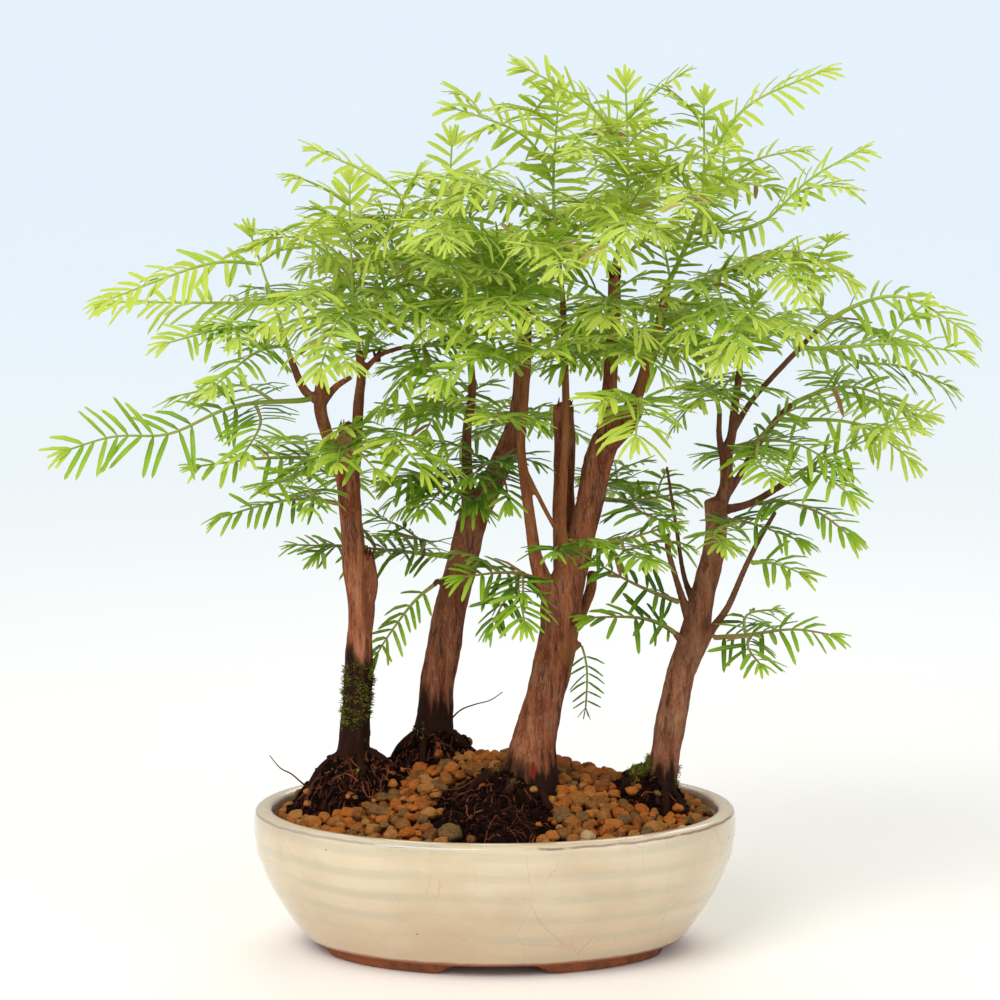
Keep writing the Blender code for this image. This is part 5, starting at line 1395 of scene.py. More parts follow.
def add_end_tuft(shape, route, marks, lean, youth, draw, scale):
    """Adds the small young needles that close round a shoot's end."""
    point, direction = at_length(route, marks, marks[-1])
    normal, sideways = fan_frame(direction, lean)
    for spread, share in END_TUFT:
        spread += draw.gauss(0.0, 0.06)
        way = (direction * math.cos(spread) + sideways * math.sin(spread)).normalized()
        face = (normal - way * normal.dot(way)).normalized()
        length = NEEDLE_LENGTH * scale * share * draw.uniform(0.85, 1.15)
        age_and_shade = min(1.0, youth + 0.3)
        bend = needle_bend(way, face, draw.gauss(0.05, 0.06), draw)
        add_blade(shape, point, way, face, length, NEEDLE_WIDTH * min(1.0, scale ** 2) * 0.8, bend, age_and_shade, 0.0)


def spray_youth_and_shade(route):
    """How young and bright a spray's needles are: the more so high up, and the less by the trunks, where the
    darkening is also painted shade deep in the crown.
    """
    end = route[-1]
    height = max(0.0, (end.z - CROWN_FOOT) / CROWN_HEIGHT)
    reach = min(1.0, math.hypot(end.x - 15.0, end.y) / CROWN_SPREAD)
    # Painted shade: needles deep in the crown near the trunks are made darker
    inner = max(0.0, 1.0 - math.hypot(end.x - 20.0, end.y) / SHADED_REACH) * max(0.0, 1.3 - height)
    side = YOUTH_OF_LEFT if end.x < -50.0 else YOUTH_OF_RIGHT if end.x > 85.0 else 0.0
    youth = 0.95 * height ** 1.3 + 0.12 * reach - SHADED_LOSS * inner + side + 0.10
    lowest, highest = YOUTH_LIMITS
    return min(highest, max(lowest, youth))


def crown_fullness(point):
    """The share of side shoots that a place keeps: all in the crown's middle, fewer far from it."""
    across = (point.x - CROWN_MIDDLE.x) / CROWN_REACH
    up = (point.z - CROWN_MIDDLE.z) / CROWN_REACH
    return max(LEAST_FULLNESS, CROWN_FULLNESS - CROWN_THINNING * (across * across + up * up))


def side_routes(route, leafy_from, lean, draw, share=1.0):
    """Short side shoots: to left and right in turn on a level route, all round an upright one."""
    marks = lengths(route)
    low, high = ROOM
    found = []
    turn = draw.uniform(0.0, FULL_TURN)
    side = draw.choice((-1.0, 1.0))
    _, middle_way = at_length(route, marks, 0.5 * marks[-1])
    mark = 3.0 if middle_way.z > UPRIGHT else leafy_from + draw.uniform(0.2, 0.8) * SIDE_SHOOT_PITCH
    while mark < marks[-1] - 9.0:
        point, direction = at_length(route, marks, mark)
        normal, sideways = fan_frame(direction, lean)
        left_over = LENGTH_AT_FOOT - LENGTH_LOST * mark / marks[-1]
        upright = direction.z > UPRIGHT
        if upright:
            outward = sideways * math.cos(turn) + normal * math.sin(turn)
            reach = WHORL_LENGTH * left_over * draw.uniform(0.75, 1.15)
        else:
            outward = (sideways * side + normal * draw.gauss(0.12, 0.5)).normalized()
            reach = SIDE_SHOOT_LENGTH * left_over * draw.uniform(0.72, 1.2)
        spread = math.radians(draw.uniform(40.0, 62.0))
        way = direction * math.cos(spread) + outward * math.sin(spread)
        middle = point + way * reach * 0.5 + Vector((0.0, 0.0, 0.05 * reach))
        end = point + way * reach - Vector((0.0, 0.0, draw.uniform(0.0, 0.16) * reach))
        fits = all(low[axis] < end[axis] < high[axis] for axis in range(3))
        if fits and draw.random() < share * crown_fullness(point):
            found.append((smooth_route((point, middle, end), STEM_SPACING), draw.gauss(0.0, 16.0)))
        side = -side
        turn += GOLDEN_ANGLE
        mark += (WHORL_PITCH if upright else SIDE_SHOOT_PITCH) * draw.uniform(0.8, 1.25)
    return found


def rooted(route, wood_surface):
    """A stem's route with its start carried into the wood, so that no cut end shows."""
    near = wood_surface.find_nearest(route[0] * MM)[0] / MM
    return [near + (near - route[0]).normalized() * ROOTED] + route


def make_spray(spray, routes, needle, shoot):
    """A leafy branch with all its needles."""
    draw = random.Random(spray.name)
    habit = HABITS.get(spray.name, PLAIN_HABIT)
    shape = Shape("youth", "across", "dry", "along")
    for route, radius, leafy_from, lean in routes:
        youth = spray_youth_and_shade(route) + habit.youth + draw.uniform(-0.12, 0.12)
        add_leafy_shoot(shape, route, radius * habit.width, leafy_from, lean, youth, draw, habit)
        for twig, twig_lean in side_routes(route, leafy_from, lean, draw, habit.fullness):
            youth = spray_youth_and_shade(twig) + habit.youth + draw.uniform(-0.18, 0.12)
            add_leafy_shoot(shape, twig, TWIG_RADIUS, TWIG_BARE, twig_lean, youth, draw, habit, TWIG_SCALE)
    name = spray.name.replace("_spray_", "_needles_")
    mesh = shape.mesh(name)
    mesh.set_sharp_from_angle(angle=math.radians(NEEDLE_EDGE))
    add_piece(name, mesh, (shoot, needle), (spray.name,))


def wood_surface(tree):
    """The surface of a tree's CAD wood, seen from the tray's centre."""
    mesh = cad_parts[tree + "_wood"].data
    points = [vertex.co - TRAY_PLACE for vertex in mesh.vertices]
    return BVHTree.FromPolygons(points, [tuple(face.vertices) for face in mesh.polygons])


def make_foliage(needle, shoot):
    """All the leafy branches, on the same routes as their solids."""
    rods = Rods()
    for tree in TREES:
        for route in wood_routes(tree):
            for first, last in zip(route, route[1:]):
                rods.add(tree, first[:3], last[:3], first[3], last[3])
    rods.refresh()
    surfaces = {tree: wood_surface(tree) for tree in TREES}
    planned = []
    for spray in SPRAYS:
        surface = surfaces[spray.name.split("_spray_")[0]]
        planned.append((spray, plan_spray(spray, rods, surface), surface))
    for spray, routes, _ in planned:
        routes += extra_routes(spray, routes[0][0], rods)
    for spray, routes, surface in planned:
        routes[0] = (rooted(routes[0][0], surface),) + routes[0][1:]
        make_spray(spray, routes, needle, shoot)


def extra_routes(spray, stem, rods):
    """The routes of the small shoots that only the finished branch has."""
    routes = shoot_routes(spray, stem, EXTRA_SHOOTS.get(spray.name, ()), rods)
    add_rods(spray, routes, rods)
    return routes


# Finishes


def new_group(name, inputs, outputs):
    """An empty shader node group with named inputs (name, kind, value) and outputs (name, kind)."""
    group = bpy.data.node_groups.new(name, "ShaderNodeTree")
    for socket, kind, value in inputs:
        made = group.interface.new_socket(socket, in_out="INPUT", socket_type=kind)
        if value is not None:
            made.default_value = value
    for socket, kind in outputs:
        group.interface.new_socket(socket, in_out="OUTPUT", socket_type=kind)
    return group


VECTOR = "NodeSocketVector"
NUMBER = "NodeSocketFloat"


class Bench:
    """Where a material's or a group's nodes are put together."""

    def __init__(self, tree):
        self.tree = tree

    def node(self, kind, **settings):
        """Adds a node."""
        made = self.tree.nodes.new(kind)
        for setting, value in settings.items():
            setattr(made, setting, value)
        return made

    def plug(self, socket, value):
        """Feeds a socket from another socket, or sets its value."""
        if isinstance(value, bpy.types.NodeSocket):
            self.tree.links.new(value, socket)
        else:
            socket.default_value = value

    def maths(self, operation, first, second=0.0, clamp=False):
        """One sum."""
        made = self.node("ShaderNodeMath", operation=operation, use_clamp=clamp)
        self.plug(made.inputs[0], first)
        self.plug(made.inputs[1], second)
        return made.outputs[0]

    def between(self, value, low, high, start=0.0, end=1.0):
        """Maps low to high onto start to end, smoothly and no further."""
        made = self.node("ShaderNodeMapRange", interpolation_type="SMOOTHSTEP")
        for name, number in (("Value", value), ("From Min", low), ("From Max", high),
                             ("To Min", start), ("To Max", end)):
            self.plug(made.inputs[name], number)
        return made.outputs["Result"]

    def vectors(self, operation, first, second=(0.0, 0.0, 0.0)):
        """One sum of vectors, or the length of one."""
        made = self.node("ShaderNodeVectorMath", operation=operation)
        self.plug(made.inputs[0], first)
        self.plug(made.inputs[1], second)
        return made.outputs["Value" if operation == "LENGTH" else "Vector"]

    def vector(self, x, y, z):
        """A vector put together from its X, Y and Z."""
        made = self.node("ShaderNodeCombineXYZ")
        for axis, value in zip("XYZ", (x, y, z)):
            self.plug(made.inputs[axis], value)
        return made.outputs["Vector"]

    def axes(self, vector):
        """A vector's X, Y and Z."""
        made = self.node("ShaderNodeSeparateXYZ")
        self.plug(made.inputs["Vector"], vector)
        return made.outputs

    def noise(self, vector, scale, detail=3.0, roughness=0.55):
        """Cloudy noise."""
        made = self.node("ShaderNodeTexNoise")
        self.plug(made.inputs["Vector"], vector)
        self.plug(made.inputs["Scale"], scale)
        self.plug(made.inputs["Detail"], detail)
        self.plug(made.inputs["Roughness"], roughness)
        return made.outputs["Fac"]

    def mix(self, factor, first, second):
        """Mixes two colours."""
        made = self.node("ShaderNodeMix", data_type="RGBA")
        self.plug(made.inputs[0], factor)
        self.plug(made.inputs[6], first if isinstance(first, bpy.types.NodeSocket) else (*first, 1.0))
        self.plug(made.inputs[7], second if isinstance(second, bpy.types.NodeSocket) else (*second, 1.0))
        return made.outputs[2]

    def tint(self, colour, mask, strength, shade):
        """Mixes a colour with a shade, as far as a mask and a strength say."""
        return self.mix(self.maths("MULTIPLY", mask, strength), colour, shade)

    def ramp(self, value, stops):
        """A colour picked by a number, from stops of (number, colour)."""
        made = self.node("ShaderNodeValToRGB")
        elements = made.color_ramp.elements
        while len(elements) < len(stops):
            elements.new(0.5)
        for element, (position, shade) in zip(elements, stops):
            element.position = position
            element.color = (*shade, 1.0)
        self.plug(made.inputs["Fac"], value)
        return made.outputs["Color"]

    def bump(self, height, distance, normal=None):
        """A bumped normal. Distance is in millimetres."""
        made = self.node("ShaderNodeBump")
        made.inputs["Strength"].default_value = 1.0
        made.inputs["Distance"].default_value = distance * MM
        self.plug(made.inputs["Height"], height)
        if normal is not None:
            self.plug(made.inputs["Normal"], normal)
        return made.outputs["Normal"]

    def group(self, group, **values):
        """Places a shared group, with its inputs named in lower case with underscores."""
        made = self.node("ShaderNodeGroup", node_tree=group)
        for name, value in values.items():
            self.plug(made.inputs[name.replace("_", " ").capitalize()], value)
        return made

    def mask(self, group, place, **values):
        """The mask that a shared group makes."""
        return self.group(group, place=place, **values).outputs["Mask"]

    def trait(self, name):
        """A number that the piece's points carry."""
        return self.node("ShaderNodeAttribute", attribute_name=name).outputs["Fac"]

    def place(self):
        """The place on the forest, in millimetres from the tray's centre."""
        where = self.node("ShaderNodeTexCoord").outputs["Object"]
        return self.vectors("MULTIPLY", where, (1 / MM, 1 / MM, 1 / MM))


class Finish(Bench):
    """A material with one Principled shader."""

    def __init__(self, name, roughness=0.5, specular=0.5):
        self.material = bpy.data.materials.new(name)
        self.material.use_nodes = True
        super().__init__(self.material.node_tree)
        self.surface = self.tree.nodes["Principled BSDF"]
        self.surface.inputs["Roughness"].default_value = roughness
        self.surface.inputs["Specular IOR Level"].default_value = specular

    def feed(self, name, value):
        """Feeds one of the shader's sockets."""
        self.plug(self.surface.inputs[name], value)


def group_bench(group):
    """The bench of a group, with its input and output nodes."""
    bench = Bench(group)
    return bench, bench.node("NodeGroupInput"), bench.node("NodeGroupOutput")


def make_mottle():
    """Soft patches that run from 0 to 1."""
    group = new_group("Mottle", (
        ("Place", VECTOR, None), ("Size", NUMBER, 10.0), ("Low", NUMBER, 0.4), ("High", NUMBER, 0.6),
    ), (("Mask", NUMBER),))
    bench, given, result = group_bench(group)
    scale = bench.maths("DIVIDE", 1.0, given.outputs["Size"])
    cloud = bench.noise(given.outputs["Place"], scale, 4.0)
    bench.plug(result.inputs["Mask"], bench.between(cloud, given.outputs["Low"], given.outputs["High"]))
    return group


def make_strips():
    """Long upright strips and cracks, as on fibrous bark."""
    group = new_group("Upright strips", (
        ("Place", VECTOR, None), ("Width", NUMBER, 1.5), ("Length", NUMBER, 12.0),
    ), (("Height", NUMBER), ("Cracks", NUMBER), ("Fleck", NUMBER)))
    bench, given, result = group_bench(group)
    across = bench.maths("DIVIDE", 1.0, given.outputs["Width"])
    along = bench.maths("DIVIDE", 1.0, given.outputs["Length"])
    place = bench.vectors("MULTIPLY", given.outputs["Place"], bench.vector(across, across, along))
    height = bench.noise(place, 1.0, 5.0, 0.62)
    fleck = bench.noise(place, 2.3, 2.0)
    bench.plug(result.inputs["Height"], height)
    bench.plug(result.inputs["Cracks"], bench.between(height, 0.47, 0.36))
    bench.plug(result.inputs["Fleck"], bench.between(fleck, 0.56, 0.68))
    return group


def make_specks():
    """Small round specks, with a share of them left out."""
    group = new_group("Specks", (
        ("Place", VECTOR, None), ("Spacing", NUMBER, 5.0), ("Size", NUMBER, 0.12), ("Share", NUMBER, 0.3),
    ), (("Mask", NUMBER),))
    bench, given, result = group_bench(group)
    cells = bench.node("ShaderNodeTexVoronoi")
    bench.plug(cells.inputs["Vector"], given.outputs["Place"])
    bench.plug(cells.inputs["Scale"], bench.maths("DIVIDE", 1.0, given.outputs["Spacing"]))
    parts = bench.node("ShaderNodeSeparateColor")
    bench.plug(parts.inputs["Color"], cells.outputs["Color"])
    kept = bench.maths("LESS_THAN", parts.outputs["Red"], given.outputs["Share"])
    edge = bench.maths("MULTIPLY", given.outputs["Size"], 0.55)
    spot = bench.between(cells.outputs["Distance"], given.outputs["Size"], edge)
    bench.plug(result.inputs["Mask"], bench.maths("MULTIPLY", spot, kept))
    return group


def make_height_band():
    """A level band whose edges wander."""
    group = new_group("Height band", (
        ("Place", VECTOR, None), ("Bottom", NUMBER, 0.0), ("Top", NUMBER, 1.0), ("Softness", NUMBER, 0.5),
        ("Wander", NUMBER, 0.0),
    ), (("Mask", NUMBER),))
    bench, given, result = group_bench(group)
    drift = bench.maths("SUBTRACT", bench.noise(given.outputs["Place"], 0.09, 3.0), 0.5)
    drift = bench.maths("MULTIPLY", drift, given.outputs["Wander"])
    height = bench.maths("ADD", bench.axes(given.outputs["Place"])["Z"], drift)
    low_end = bench.maths("SUBTRACT", given.outputs["Bottom"], given.outputs["Softness"])
    high_end = bench.maths("ADD", given.outputs["Top"], given.outputs["Softness"])
    above = bench.between(height, low_end, given.outputs["Bottom"])
    below = bench.between(height, high_end, given.outputs["Top"])
    bench.plug(result.inputs["Mask"], bench.maths("MULTIPLY", above, below))
    return group


CREAM = (0.60, 0.47, 0.31)
CREAM_PALE = (0.68, 0.57, 0.40)
CREAM_DEEP = (0.56, 0.39, 0.235)
GREY_GREEN = (0.42, 0.42, 0.31)
CRACKLE_BROWN = (0.26, 0.16, 0.085)
RIM_BLUE = (0.16, 0.22, 0.30)
RIM_PURPLE = (0.16, 0.075, 0.075)
IRON_BROWN = (0.07, 0.045, 0.03)
FOOT_CLAY = (0.32, 0.090, 0.024)
FOOT_CLAY_DARK = (0.17, 0.055, 0.022)
FOOT_CLAY_SPECK = (0.34, 0.20, 0.11)
SOIL_BLACK = (0.004, 0.0015, 0.001)
SOIL_BROWN = (0.019, 0.0070, 0.004)
SOIL_CRUMB = (0.12, 0.040, 0.016)


def glaze_finish(groups):
    """Cream crackle glaze: smooth, greener where it pools in the throwing rings, with iron specks."""
    finish = Finish("cream_crackle_glaze", roughness=0.2)
    place = finish.place()
    height = finish.axes(place)["Z"]
    clouds = finish.mask(groups["mottle"], place, size=34.0, low=0.32, high=0.68)
    colour = finish.mix(clouds, CREAM, CREAM_PALE)
    colour = finish.tint(colour, finish.between(height, 40.0, 8.0), 0.5, CREAM_DEEP)
    rings = glaze_rings(finish, place, height)
    broken = finish.mask(groups["mottle"], place, size=40.0, low=0.36, high=0.60)
    colour = finish.tint(colour, rings, finish.maths("MULTIPLY", broken, 0.34), GREY_GREEN)
    crackle = crackle_lines(finish, groups, place)
    colour = finish.tint(colour, crackle, 0.27, CRACKLE_BROWN)
    specks = finish.mask(groups["specks"], place, spacing=8.0, size=0.062, share=0.46)
    colour = finish.tint(colour, specks, 0.85, IRON_BROWN)
    colour = rim_lines(finish, groups, place, colour)
    foot = finish.mask(groups["band"], place, bottom=-1.0, top=5.2, softness=1.2, wander=1.5)
    finish.feed("Base Color", finish.mix(foot, colour, FOOT_CLAY))
    finish.feed("Coat Weight", 0.6)
    finish.feed("Coat Roughness", 0.06)
    normal = finish.bump(finish.noise(place, 0.06, 3.0), 0.6)
    normal = finish.bump(rings, -0.10, normal)
    finish.feed("Normal", finish.bump(crackle, -0.03, normal))
    return finish.material


def glaze_rings(finish, place, height):
    """Soft level rings, as a potter's fingers leave them, from 0 on their crests to 1 between."""
    drift = finish.maths("MULTIPLY", finish.noise(place, 0.015, 1.0), 4.0)
    turn = finish.maths("MULTIPLY", height, FULL_TURN / THROWING_RING_PITCH)
    wave = finish.maths("SINE", finish.maths("ADD", turn, drift))
    return finish.between(wave, -0.2, 0.95)


def crackle_lines(finish, groups, place):
    """Fine cracks in the glaze, longer upright than across, in patches."""
    shift = finish.maths("MULTIPLY", finish.noise(place, 0.12, 3.0), 3.5)
    tall = finish.vectors("MULTIPLY", place, (1.0, 1.0, 0.34))
    cells = finish.node("ShaderNodeTexVoronoi", feature="DISTANCE_TO_EDGE")
    finish.plug(cells.inputs["Vector"], finish.vectors("ADD", tall, finish.vector(shift, shift, 0.0)))
    finish.plug(cells.inputs["Scale"], 0.062)
    lines = finish.between(cells.outputs["Distance"], 0.008, 0.002)
    patches = finish.mask(groups["mottle"], place, size=24.0, low=0.44, high=0.58)
    return finish.maths("MULTIPLY", lines, patches)


def rim_lines(finish, groups, place, colour):
    """The dark lines where the glaze thins over the rim: blue-grey at the left, purple at the right."""
    outer = finish.mask(groups["band"], place, bottom=53.4, top=53.9, softness=0.35, wander=1.4)
    broken = finish.mask(groups["mottle"], place, size=12.0, low=0.24, high=0.46)
    line = finish.maths("MULTIPLY", outer, broken)
    across = finish.axes(place)["X"]
    for near, far, strength, shade in ((-8.0, -22.0, 0.55, RIM_BLUE), (8.0, 20.0, 0.75, RIM_PURPLE)):
        side = finish.maths("MULTIPLY", finish.between(across, near, far), strength)
        colour = finish.tint(colour, line, side, shade)
    inner = finish.mask(groups["band"], place, bottom=51.0, top=53.0, softness=0.5, wander=1.0)
    ring = finish.maths("MULTIPLY", inner_wall(finish, place), inner)
    return finish.tint(colour, ring, 0.55, RIM_PURPLE)


def inner_wall(finish, place):
    """1 on the inside of the tray's wall and 0 outside it."""
    parts = finish.axes(place)
    across = finish.maths("DIVIDE", parts["X"], INNER_WALL_RADIUS + TRAY_EXTRA_LENGTH)
    along = finish.maths("DIVIDE", parts["Y"], INNER_WALL_RADIUS)
    away = finish.maths("ADD", finish.maths("POWER", across, 2.0), finish.maths("POWER", along, 2.0))
    return finish.maths("LESS_THAN", away, 1.0)


def clay_finish(groups):
    """Bare red-brown clay, as on the foot ring."""
    finish = Finish("bare_clay", roughness=0.8)
    place = finish.place()
    patches = finish.mask(groups["mottle"], place, size=7.0, low=0.35, high=0.65)
    colour = finish.mix(patches, FOOT_CLAY, FOOT_CLAY_DARK)
    specks = finish.mask(groups["specks"], place, spacing=2.0, size=0.16, share=0.3)
    finish.feed("Base Color", finish.mix(specks, colour, FOOT_CLAY_SPECK))
    finish.feed("Normal", finish.bump(finish.noise(place, 1.1, 4.0), 0.25))
    return finish.material


def soil_finish(groups):
    """Dark moist peat with a few paler crumbs."""
    finish = Finish("moist_soil", roughness=0.9, specular=0.05)
    place = finish.place()
    patches = finish.mask(groups["mottle"], place, size=4.0, low=0.35, high=0.7)
    colour = finish.mix(patches, SOIL_BLACK, SOIL_BROWN)
    specks = finish.mask(groups["specks"], place, spacing=1.6, size=0.22, share=0.14)
    finish.feed("Base Color", finish.mix(specks, colour, SOIL_CRUMB))
    coarse = finish.bump(finish.noise(place, 0.5, 5.0, 0.7), 1.2)
    finish.feed("Normal", finish.bump(finish.noise(place, 2.2, 3.0, 0.7), 0.4, coarse))
    return finish.material


# Grains' colours by their tone, what lies on them, and the painted shade under each
GRAIN_TONES = (
    (0.0, (0.11, 0.032, 0.007)), (0.14, (0.36, 0.085, 0.010)), (0.34, (0.45, 0.130, 0.017)),
    (0.48, (0.40, 0.175, 0.046)), (0.64, (0.27, 0.086, 0.013)), (0.78, (0.16, 0.072, 0.020)),
    (0.92, (0.125, 0.080, 0.032)), (1.0, (0.52, 0.37, 0.20)),
)
GRAIN_DUST = (0.50, 0.24, 0.075)
GRAIN_PIT = (0.05, 0.018, 0.007)
GRAIN_SHADE_AND_DAMP = (0.026, 0.010, 0.005)


def grain_finish(groups):
    """Baked-clay grains from ochre to grey, each with its own tone, and darker underneath, partly as painted
    shade between the grains and partly as moisture.
    """
    finish = Finish("baked_clay_grains", roughness=0.85, specular=0.12)
    place = finish.place()
    tone = finish.ramp(finish.trait("tone"), GRAIN_TONES)
    dust = finish.mask(groups["mottle"], place, size=1.2, low=0.40, high=0.60)
    colour = finish.tint(tone, dust, 0.5, finish.mix(0.5, tone, GRAIN_DUST))
    pits = finish.mask(groups["specks"], place, spacing=0.9, size=0.30, share=0.55)
    colour = finish.tint(colour, pits, 0.7, GRAIN_PIT)
    # Painted shade: each grain is darker towards its underside, as in the gaps between grains, together with
    # moisture
    shade_and_damp = finish.between(finish.trait("level"), 0.10, -0.45)
    finish.feed("Base Color", finish.tint(colour, shade_and_damp, 0.8, GRAIN_SHADE_AND_DAMP))
    coarse = finish.bump(finish.noise(place, 0.9, 4.0, 0.65), 0.9)
    finish.feed("Normal", finish.bump(finish.noise(place, 3.0, 3.0, 0.7), 0.26, coarse))
    return finish.material


# Bark: each tree's colours in its hollows, on its crests and on its twigs
BARK_TONES = {
    "left_tree": ((0.22, 0.058, 0.024), (0.50, 0.180, 0.084), (0.17, 0.070, 0.032)),
    "back_tree": ((0.175, 0.052, 0.024), (0.36, 0.128, 0.062), (0.15, 0.060, 0.030)),
    "main_tree": ((0.165, 0.042, 0.017), (0.370, 0.125, 0.054), (0.30, 0.125, 0.042)),
    "right_tree": ((0.185, 0.062, 0.030), (0.37, 0.155, 0.078), (0.11, 0.050, 0.030)),
}
BARK_CRACK = (0.040, 0.014, 0.009)
BARK_FLECK = (0.48, 0.33, 0.23)
BARK_LICHEN = (0.36, 0.21, 0.13)
BARK_WET = (0.012, 0.0045, 0.003)
WET_BOTTOM = 20.0
WET_TOPS = {"left_tree": 126.0, "back_tree": 105.0, "main_tree": 86.0, "right_tree": 82.0}
WET_STREAK = 34.0

# The wound: its middle, and how much its half-sizes are squeezed to those of a ball of 1
WOUND_RED = (0.22, 0.026, 0.014)
WOUND_MIDDLE = (14.7, -21.0, 72.3)
WOUND_SQUEEZE = (1 / 1.35, 1 / 6.0, 1 / 4.0)


def bark_finish(tree, groups):
    """Reddish brown bark in long strips, with grey lichen and flecks, and dark and wet at its foot."""
    finish = Finish(tree + "_bark", roughness=0.85, specular=0.08)
    place = finish.place()
    strips = finish.group(groups["strips"], place=place, width=1.6, length=13.0).outputs
    fine = finish.group(groups["strips"], place=place, width=0.55, length=4.5).outputs
    broad = finish.group(groups["strips"], place=place, width=4.2, length=34.0).outputs
    low_tone, high_tone, twig_tone = BARK_TONES[tree]
    colour = finish.mix(finish.between(broad["Height"], 0.38, 0.62), low_tone, high_tone)
    slender = finish.trait("slender")
    thick = finish.maths("SUBTRACT", 1.0, slender)
    lichen = finish.mask(groups["mottle"], place, size=11.0, low=0.47, high=0.66)
    grey = finish.maths("MULTIPLY", lichen, finish.between(fine["Height"], 0.40, 0.58))
    colour = finish.tint(colour, grey, finish.maths("MULTIPLY", thick, 0.45), BARK_LICHEN)
    colour = finish.tint(colour, fine["Cracks"], 0.7, low_tone)
    colour = finish.tint(colour, slender, 0.6, twig_tone)
    colour = finish.tint(colour, finish.maths("MULTIPLY", fine["Fleck"], thick), 0.4, BARK_FLECK)
    colour = finish.tint(colour, finish.maths("MULTIPLY", strips["Cracks"], thick), 0.62, BARK_CRACK)
    wet = wet_foot(finish, groups, place, broad["Height"], WET_TOPS[tree])
    colour = finish.tint(colour, wet, 0.94, BARK_WET)
    if tree == "main_tree":
        colour = add_wound(finish, place, colour)
    finish.feed("Base Color", colour)
    finish.feed("Normal", finish.bump(fine["Height"], 0.6, finish.bump(strips["Height"], 1.5)))
    return finish.material


def wet_foot(finish, groups, place, streaks, top):
    """Where a trunk is wet, up to an edge that runs out in streaks."""
    lowered = finish.vector(0.0, 0.0, finish.maths("MULTIPLY", streaks, WET_STREAK))
    ragged = finish.vectors("ADD", place, lowered)
    return finish.mask(groups["band"], ragged, bottom=WET_BOTTOM, top=top, softness=13.0, wander=16.0)


def add_wound(finish, place, colour):
    """A small red wound low on the trunk's front."""
    away = finish.vectors("MULTIPLY", finish.vectors("SUBTRACT", place, WOUND_MIDDLE), WOUND_SQUEEZE)
    wound = finish.between(finish.vectors("LENGTH", away), 1.15, 0.75)
    return finish.mix(wound, colour, WOUND_RED)


ROOTLET_TONES = ((0.040, 0.009, 0.005), (0.24, 0.066, 0.026), (0.03, 0.009, 0.005))
MOSS_TONES = ((0.040, 0.044, 0.007), (0.26, 0.27, 0.030), (0.02, 0.022, 0.007))
SHOOT_YOUNG = ((0.30, 0.46, 0.04), (0.40, 0.44, 0.06))
SHOOT_OLD = ((0.20, 0.22, 0.03), (0.26, 0.15, 0.045))
SCREEN_BLACK = (0.015, 0.015, 0.016)
SCREEN_DUST = (0.06, 0.04, 0.03)


def rootlet_finish(groups):
    """Fine roots, from red-brown to pale."""
    finish = Finish("fine_root_skin", roughness=0.7, specular=0.12)
    place = finish.place()
    low_tone, high_tone, patch = ROOTLET_TONES
    colour = finish.mix(finish.trait("tone"), low_tone, high_tone)
    patches = finish.mask(groups["mottle"], place, size=2.5, low=0.4, high=0.65)
    finish.feed("Base Color", finish.tint(colour, patches, 0.5, patch))
    finish.feed("Normal", finish.bump(finish.noise(place, 2.5, 3.0), 0.12))
    return finish.material


def moss_finish(groups):
    """Dark to yellow green moss."""
    finish = Finish("moss_leaves", roughness=0.75, specular=0.2)
    place = finish.place()
    low_tone, high_tone, patch = MOSS_TONES
    colour = finish.mix(finish.trait("tone"), low_tone, high_tone)
    patches = finish.mask(groups["mottle"], place, size=2.0, low=0.4, high=0.65)
    finish.feed("Base Color", finish.tint(colour, patches, 0.5, patch))
    finish.feed("Normal", finish.bump(finish.noise(place, 3.0, 2.0), 0.1))
    return finish.material


LEAF_DARK = (0.052, 0.160, 0.010)
LEAF_MIDDLE = (0.315, 0.535, 0.026)
LEAF_BRIGHT = (0.65, 0.765, 0.115)
LEAF_DRY = (0.50, 0.24, 0.12)
THROUGH_LIGHT = 0.38


def needle_finish(groups):
    """Needles from dark green through to yellow green, with a paler midrib and a few dry ones."""
    finish = Finish("dawn_redwood_needles", roughness=0.48, specular=0.4)
    place = finish.place()
    patches = finish.mask(groups["mottle"], place, size=9.0, low=0.3, high=0.7)
    # The needles' youth number also carries painted shade: deep in the crown they come out darker
    age_and_shade = finish.maths("ADD", finish.trait("youth"), finish.maths("MULTIPLY", patches, 0.12))
    ends = finish.maths("MULTIPLY", finish.maths("SUBTRACT", finish.trait("along"), 0.5), 0.30)
    age_and_shade = finish.maths("ADD", age_and_shade, ends, clamp=True)
    older = finish.mix(finish.between(age_and_shade, 0.0, 0.5), LEAF_DARK, LEAF_MIDDLE)
    colour = finish.mix(finish.between(age_and_shade, 0.4, 1.0), older, LEAF_BRIGHT)
    midrib = finish.between(finish.trait("across"), 0.30, 0.05)
    colour = finish.tint(colour, midrib, 0.55, finish.mix(0.45, colour, LEAF_BRIGHT))
    colour = finish.mix(finish.trait("dry"), colour, LEAF_DRY)
    finish.feed("Base Color", colour)
    finish.feed("Normal", finish.bump(finish.noise(place, 0.7, 2.0), 0.05))
    let_light_through(finish, finish.mix(0.35, colour, LEAF_BRIGHT))
    return finish.material


def let_light_through(finish, colour):
    """Lets some of the light shine through thin leaves."""
    through = finish.node("ShaderNodeBsdfTranslucent")
    finish.plug(through.inputs["Color"], colour)
    both = finish.node("ShaderNodeMixShader")
    both.inputs["Fac"].default_value = THROUGH_LIGHT
    finish.plug(both.inputs[1], finish.surface.outputs["BSDF"])
    finish.plug(both.inputs[2], through.outputs["BSDF"])
    finish.plug(finish.tree.nodes["Material Output"].inputs["Surface"], both.outputs["Shader"])


